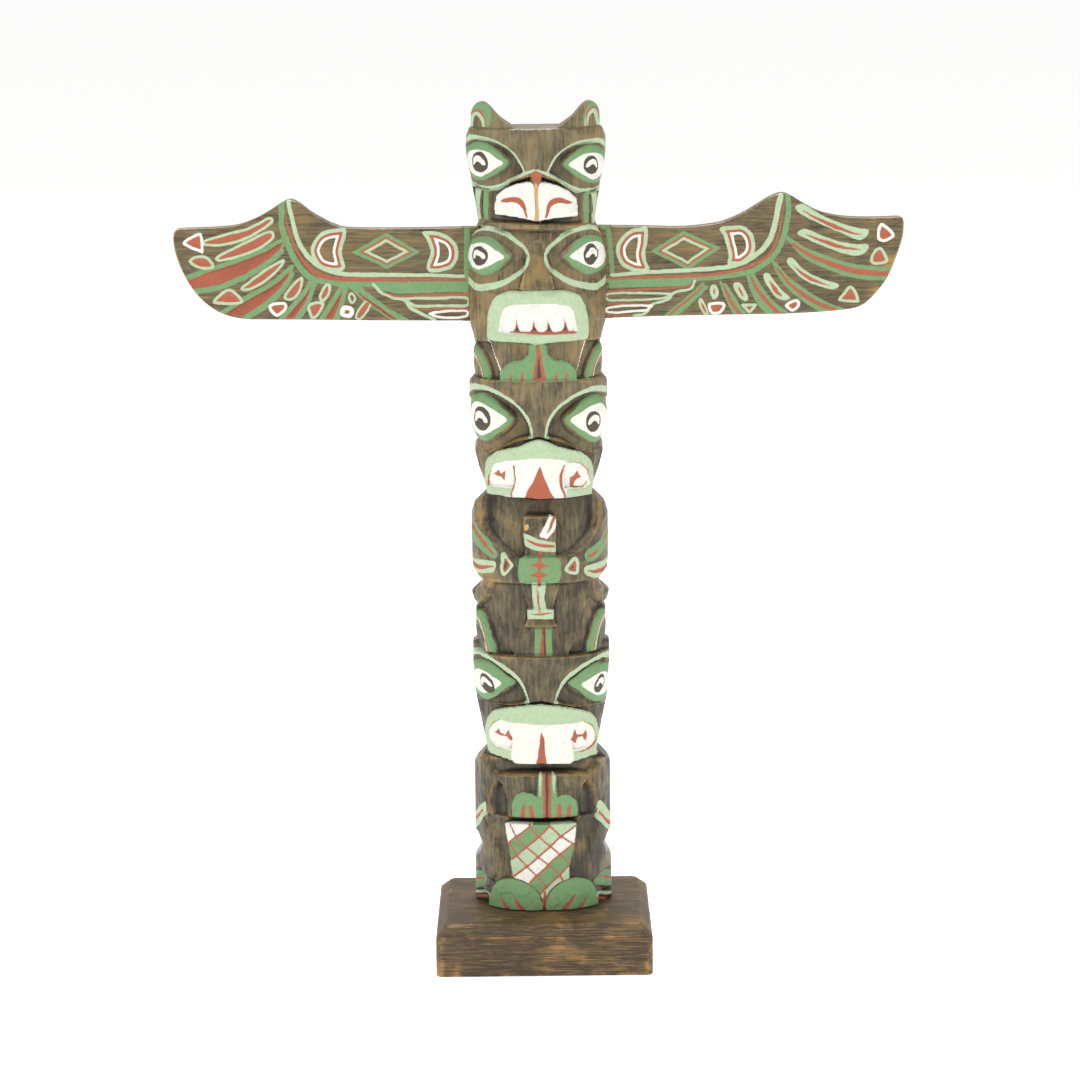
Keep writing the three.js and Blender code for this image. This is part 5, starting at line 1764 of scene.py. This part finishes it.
def painted_wood(name, **wood):
    """Stained wood with the marks of paint that the mesh carries"""
    n = Nodes(name)
    coordinates, colour, height = stained_wood(n, **wood)
    edge_noise = n.noise(coordinates, RAGGED_EDGE, 2.0, 0.6)
    wobble = n.math("MULTIPLY", n.math("SUBTRACT", edge_noise, 0.5), 0.40)
    brush = n.noise(coordinates, BRUSH, 2.0, 0.6, 0.5)
    covered = 0.0
    for paint in ORDER:
        distance = n.math("ADD", n.attribute(paint), wobble)
        mask = n.remap(distance, -0.12, 0.12, 1.0, 0.0)
        shade = n.mix(n.remap(brush, 0.35, 0.70, 0.0, 0.12), PAINTS[paint], GRIME_AND_SHADE, "MULTIPLY")
        colour = n.mix(mask, colour, shade)
        covered = n.math("MAXIMUM", covered, mask)
    # Painted shade darkens the cut lines, over the paint too
    cut_line_shade = n.remap(n.attribute("wear_and_shade"), -0.12, -0.7, 0.0, 0.55)
    colour = n.mix(cut_line_shade, colour, GRIME_AND_SHADE)
    roughness = n.remap(covered, 0.0, 1.0, 0.36, 0.55)
    normal = n.bump(height, 0.00018, 0.5)
    normal = n.bump(n.math("ADD", covered, n.math("MULTIPLY", brush, 0.4)), 0.00012, 0.5, normal)
    return n.surface(colour, roughness, normal, 0.35)


def bare_wood(name, **wood):
    n = Nodes(name)
    _, colour, height = stained_wood(n, **wood)
    normal = n.bump(height, 0.0003, 0.6)
    return n.surface(colour, 0.55, normal, 0.35)


def dress(piece, material, node):
    """Give a piece its material, hide the CAD node it stands for, and attach it to the root body"""
    piece.data.materials.append(material)
    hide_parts(node)
    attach(piece, "root")


# Camera: the photograph's own angle, worked out for its square frame

CAMERA = {"distance": 1311.3, "height": 464.1, "pitch": 11.7, "roll": 0.63}
FOCAL_PIXELS = 2978.4
FRAME_PIXELS = 1080
SENSOR = 36.0


def make_camera():
    data = bpy.data.cameras.new("camera")
    data.sensor_width = SENSOR
    data.lens = FOCAL_PIXELS * SENSOR / FRAME_PIXELS
    data.clip_start, data.clip_end = 0.05, 200.0
    camera = bpy.data.objects.new("camera", data)
    bpy.context.scene.collection.objects.link(camera)
    place = Matrix.Translation((0, -CAMERA["distance"] * MM, CAMERA["height"] * MM))
    tilt = Matrix.Rotation(math.radians(90 - CAMERA["pitch"]), 4, "X")
    camera.matrix_world = place @ tilt @ Matrix.Rotation(-math.radians(CAMERA["roll"]), 4, "Z")
    bpy.context.scene.camera = camera


# Studio: a pale floor and large soft lights

FLOOR_SIZE = 160.0
FLOOR_COLOUR = (0.95, 0.95, 0.945, 1)
FLOOR_GLOW = 0.50
SKY_LIGHT = 0.50
WHITE = (1, 1, 1, 1)
LIGHTS = [
    ("left", (-1.6, -1.1, 1.1), (0, 0, 0.2), 1.0, 16),
    ("right", (1.6, -1.1, 1.0), (0, 0, 0.2), 1.0, 13),
    ("top", (0, -0.8, 1.9), (0, 0, 0.2), 0.8, 11), ("back", (0, 0.9, 1.8), (0, 0, 0.1), 1.2, 34),
]


def area_light(name, place, target, size, power):
    """A square light aimed at a target, in metres and watts"""
    data = bpy.data.lights.new(name, "AREA")
    data.shape, data.size, data.energy = "SQUARE", size, power
    light = bpy.data.objects.new(name, data)
    bpy.context.scene.collection.objects.link(light)
    away = np.array(target) - np.array(place)
    light.location = place
    light.rotation_euler = Vector(away).to_track_quat("-Z", "Y").to_euler()


def make_studio():
    bpy.ops.mesh.primitive_plane_add(size=FLOOR_SIZE)
    floor = bpy.context.object
    floor.name = "floor"
    n = Nodes("floor_pale")
    shader = n.node("ShaderNodeBsdfPrincipled")
    shader.inputs["Base Color"].default_value = FLOOR_COLOUR
    shader.inputs["Roughness"].default_value = 0.9
    shader.inputs["Specular IOR Level"].default_value = 0.1
    shader.inputs["Emission Color"].default_value = WHITE
    shader.inputs["Emission Strength"].default_value = FLOOR_GLOW
    output = n.node("ShaderNodeOutputMaterial")
    n.tree.links.new(shader.outputs[0], output.inputs[0])
    floor.data.materials.append(n.material)
    world = bpy.data.worlds.new("studio")
    bpy.context.scene.world = world
    world.use_nodes = True
    background = world.node_tree.nodes["Background"]
    background.inputs[0].default_value = WHITE
    background.inputs[1].default_value = SKY_LIGHT
    for light in LIGHTS:
        area_light(*light)
    bpy.context.scene.view_settings.view_transform = "Standard"


make_camera()
make_studio()

pole = build_pole()
wings = {name: build_wing(name) for name in WINGS}
base = build_base()

pole_paint = painted_wood(
    "carved_painted_wood", grain=(1, 1, 0.10), stains=(STAIN_DARK, STAIN), wear_low=0.36,
    raw_share=0.28, ochre_share=0.55, cloud_share=0.42)
dress(pole, pole_paint, "pole")
wing_paint = painted_wood(
    "painted_board", grain=(0.10, 1.9, 1.9), stains=(BOARD_DARK, BOARD), wear_low=0.26,
    raw_share=0.55, ochre_share=0.35, cloud_share=0.2)
for node, wing in wings.items():
    dress(wing, wing_paint, node)
base_stain = bare_wood(
    "stained_block", grain=(0.12, 2.8, 2.8), stains=(BROWN_DARK, BROWN), wear_low=0.12,
    raw_share=0.6, ochre_share=0.4, cloud_share=0.2)
dress(base, base_stain, "base")
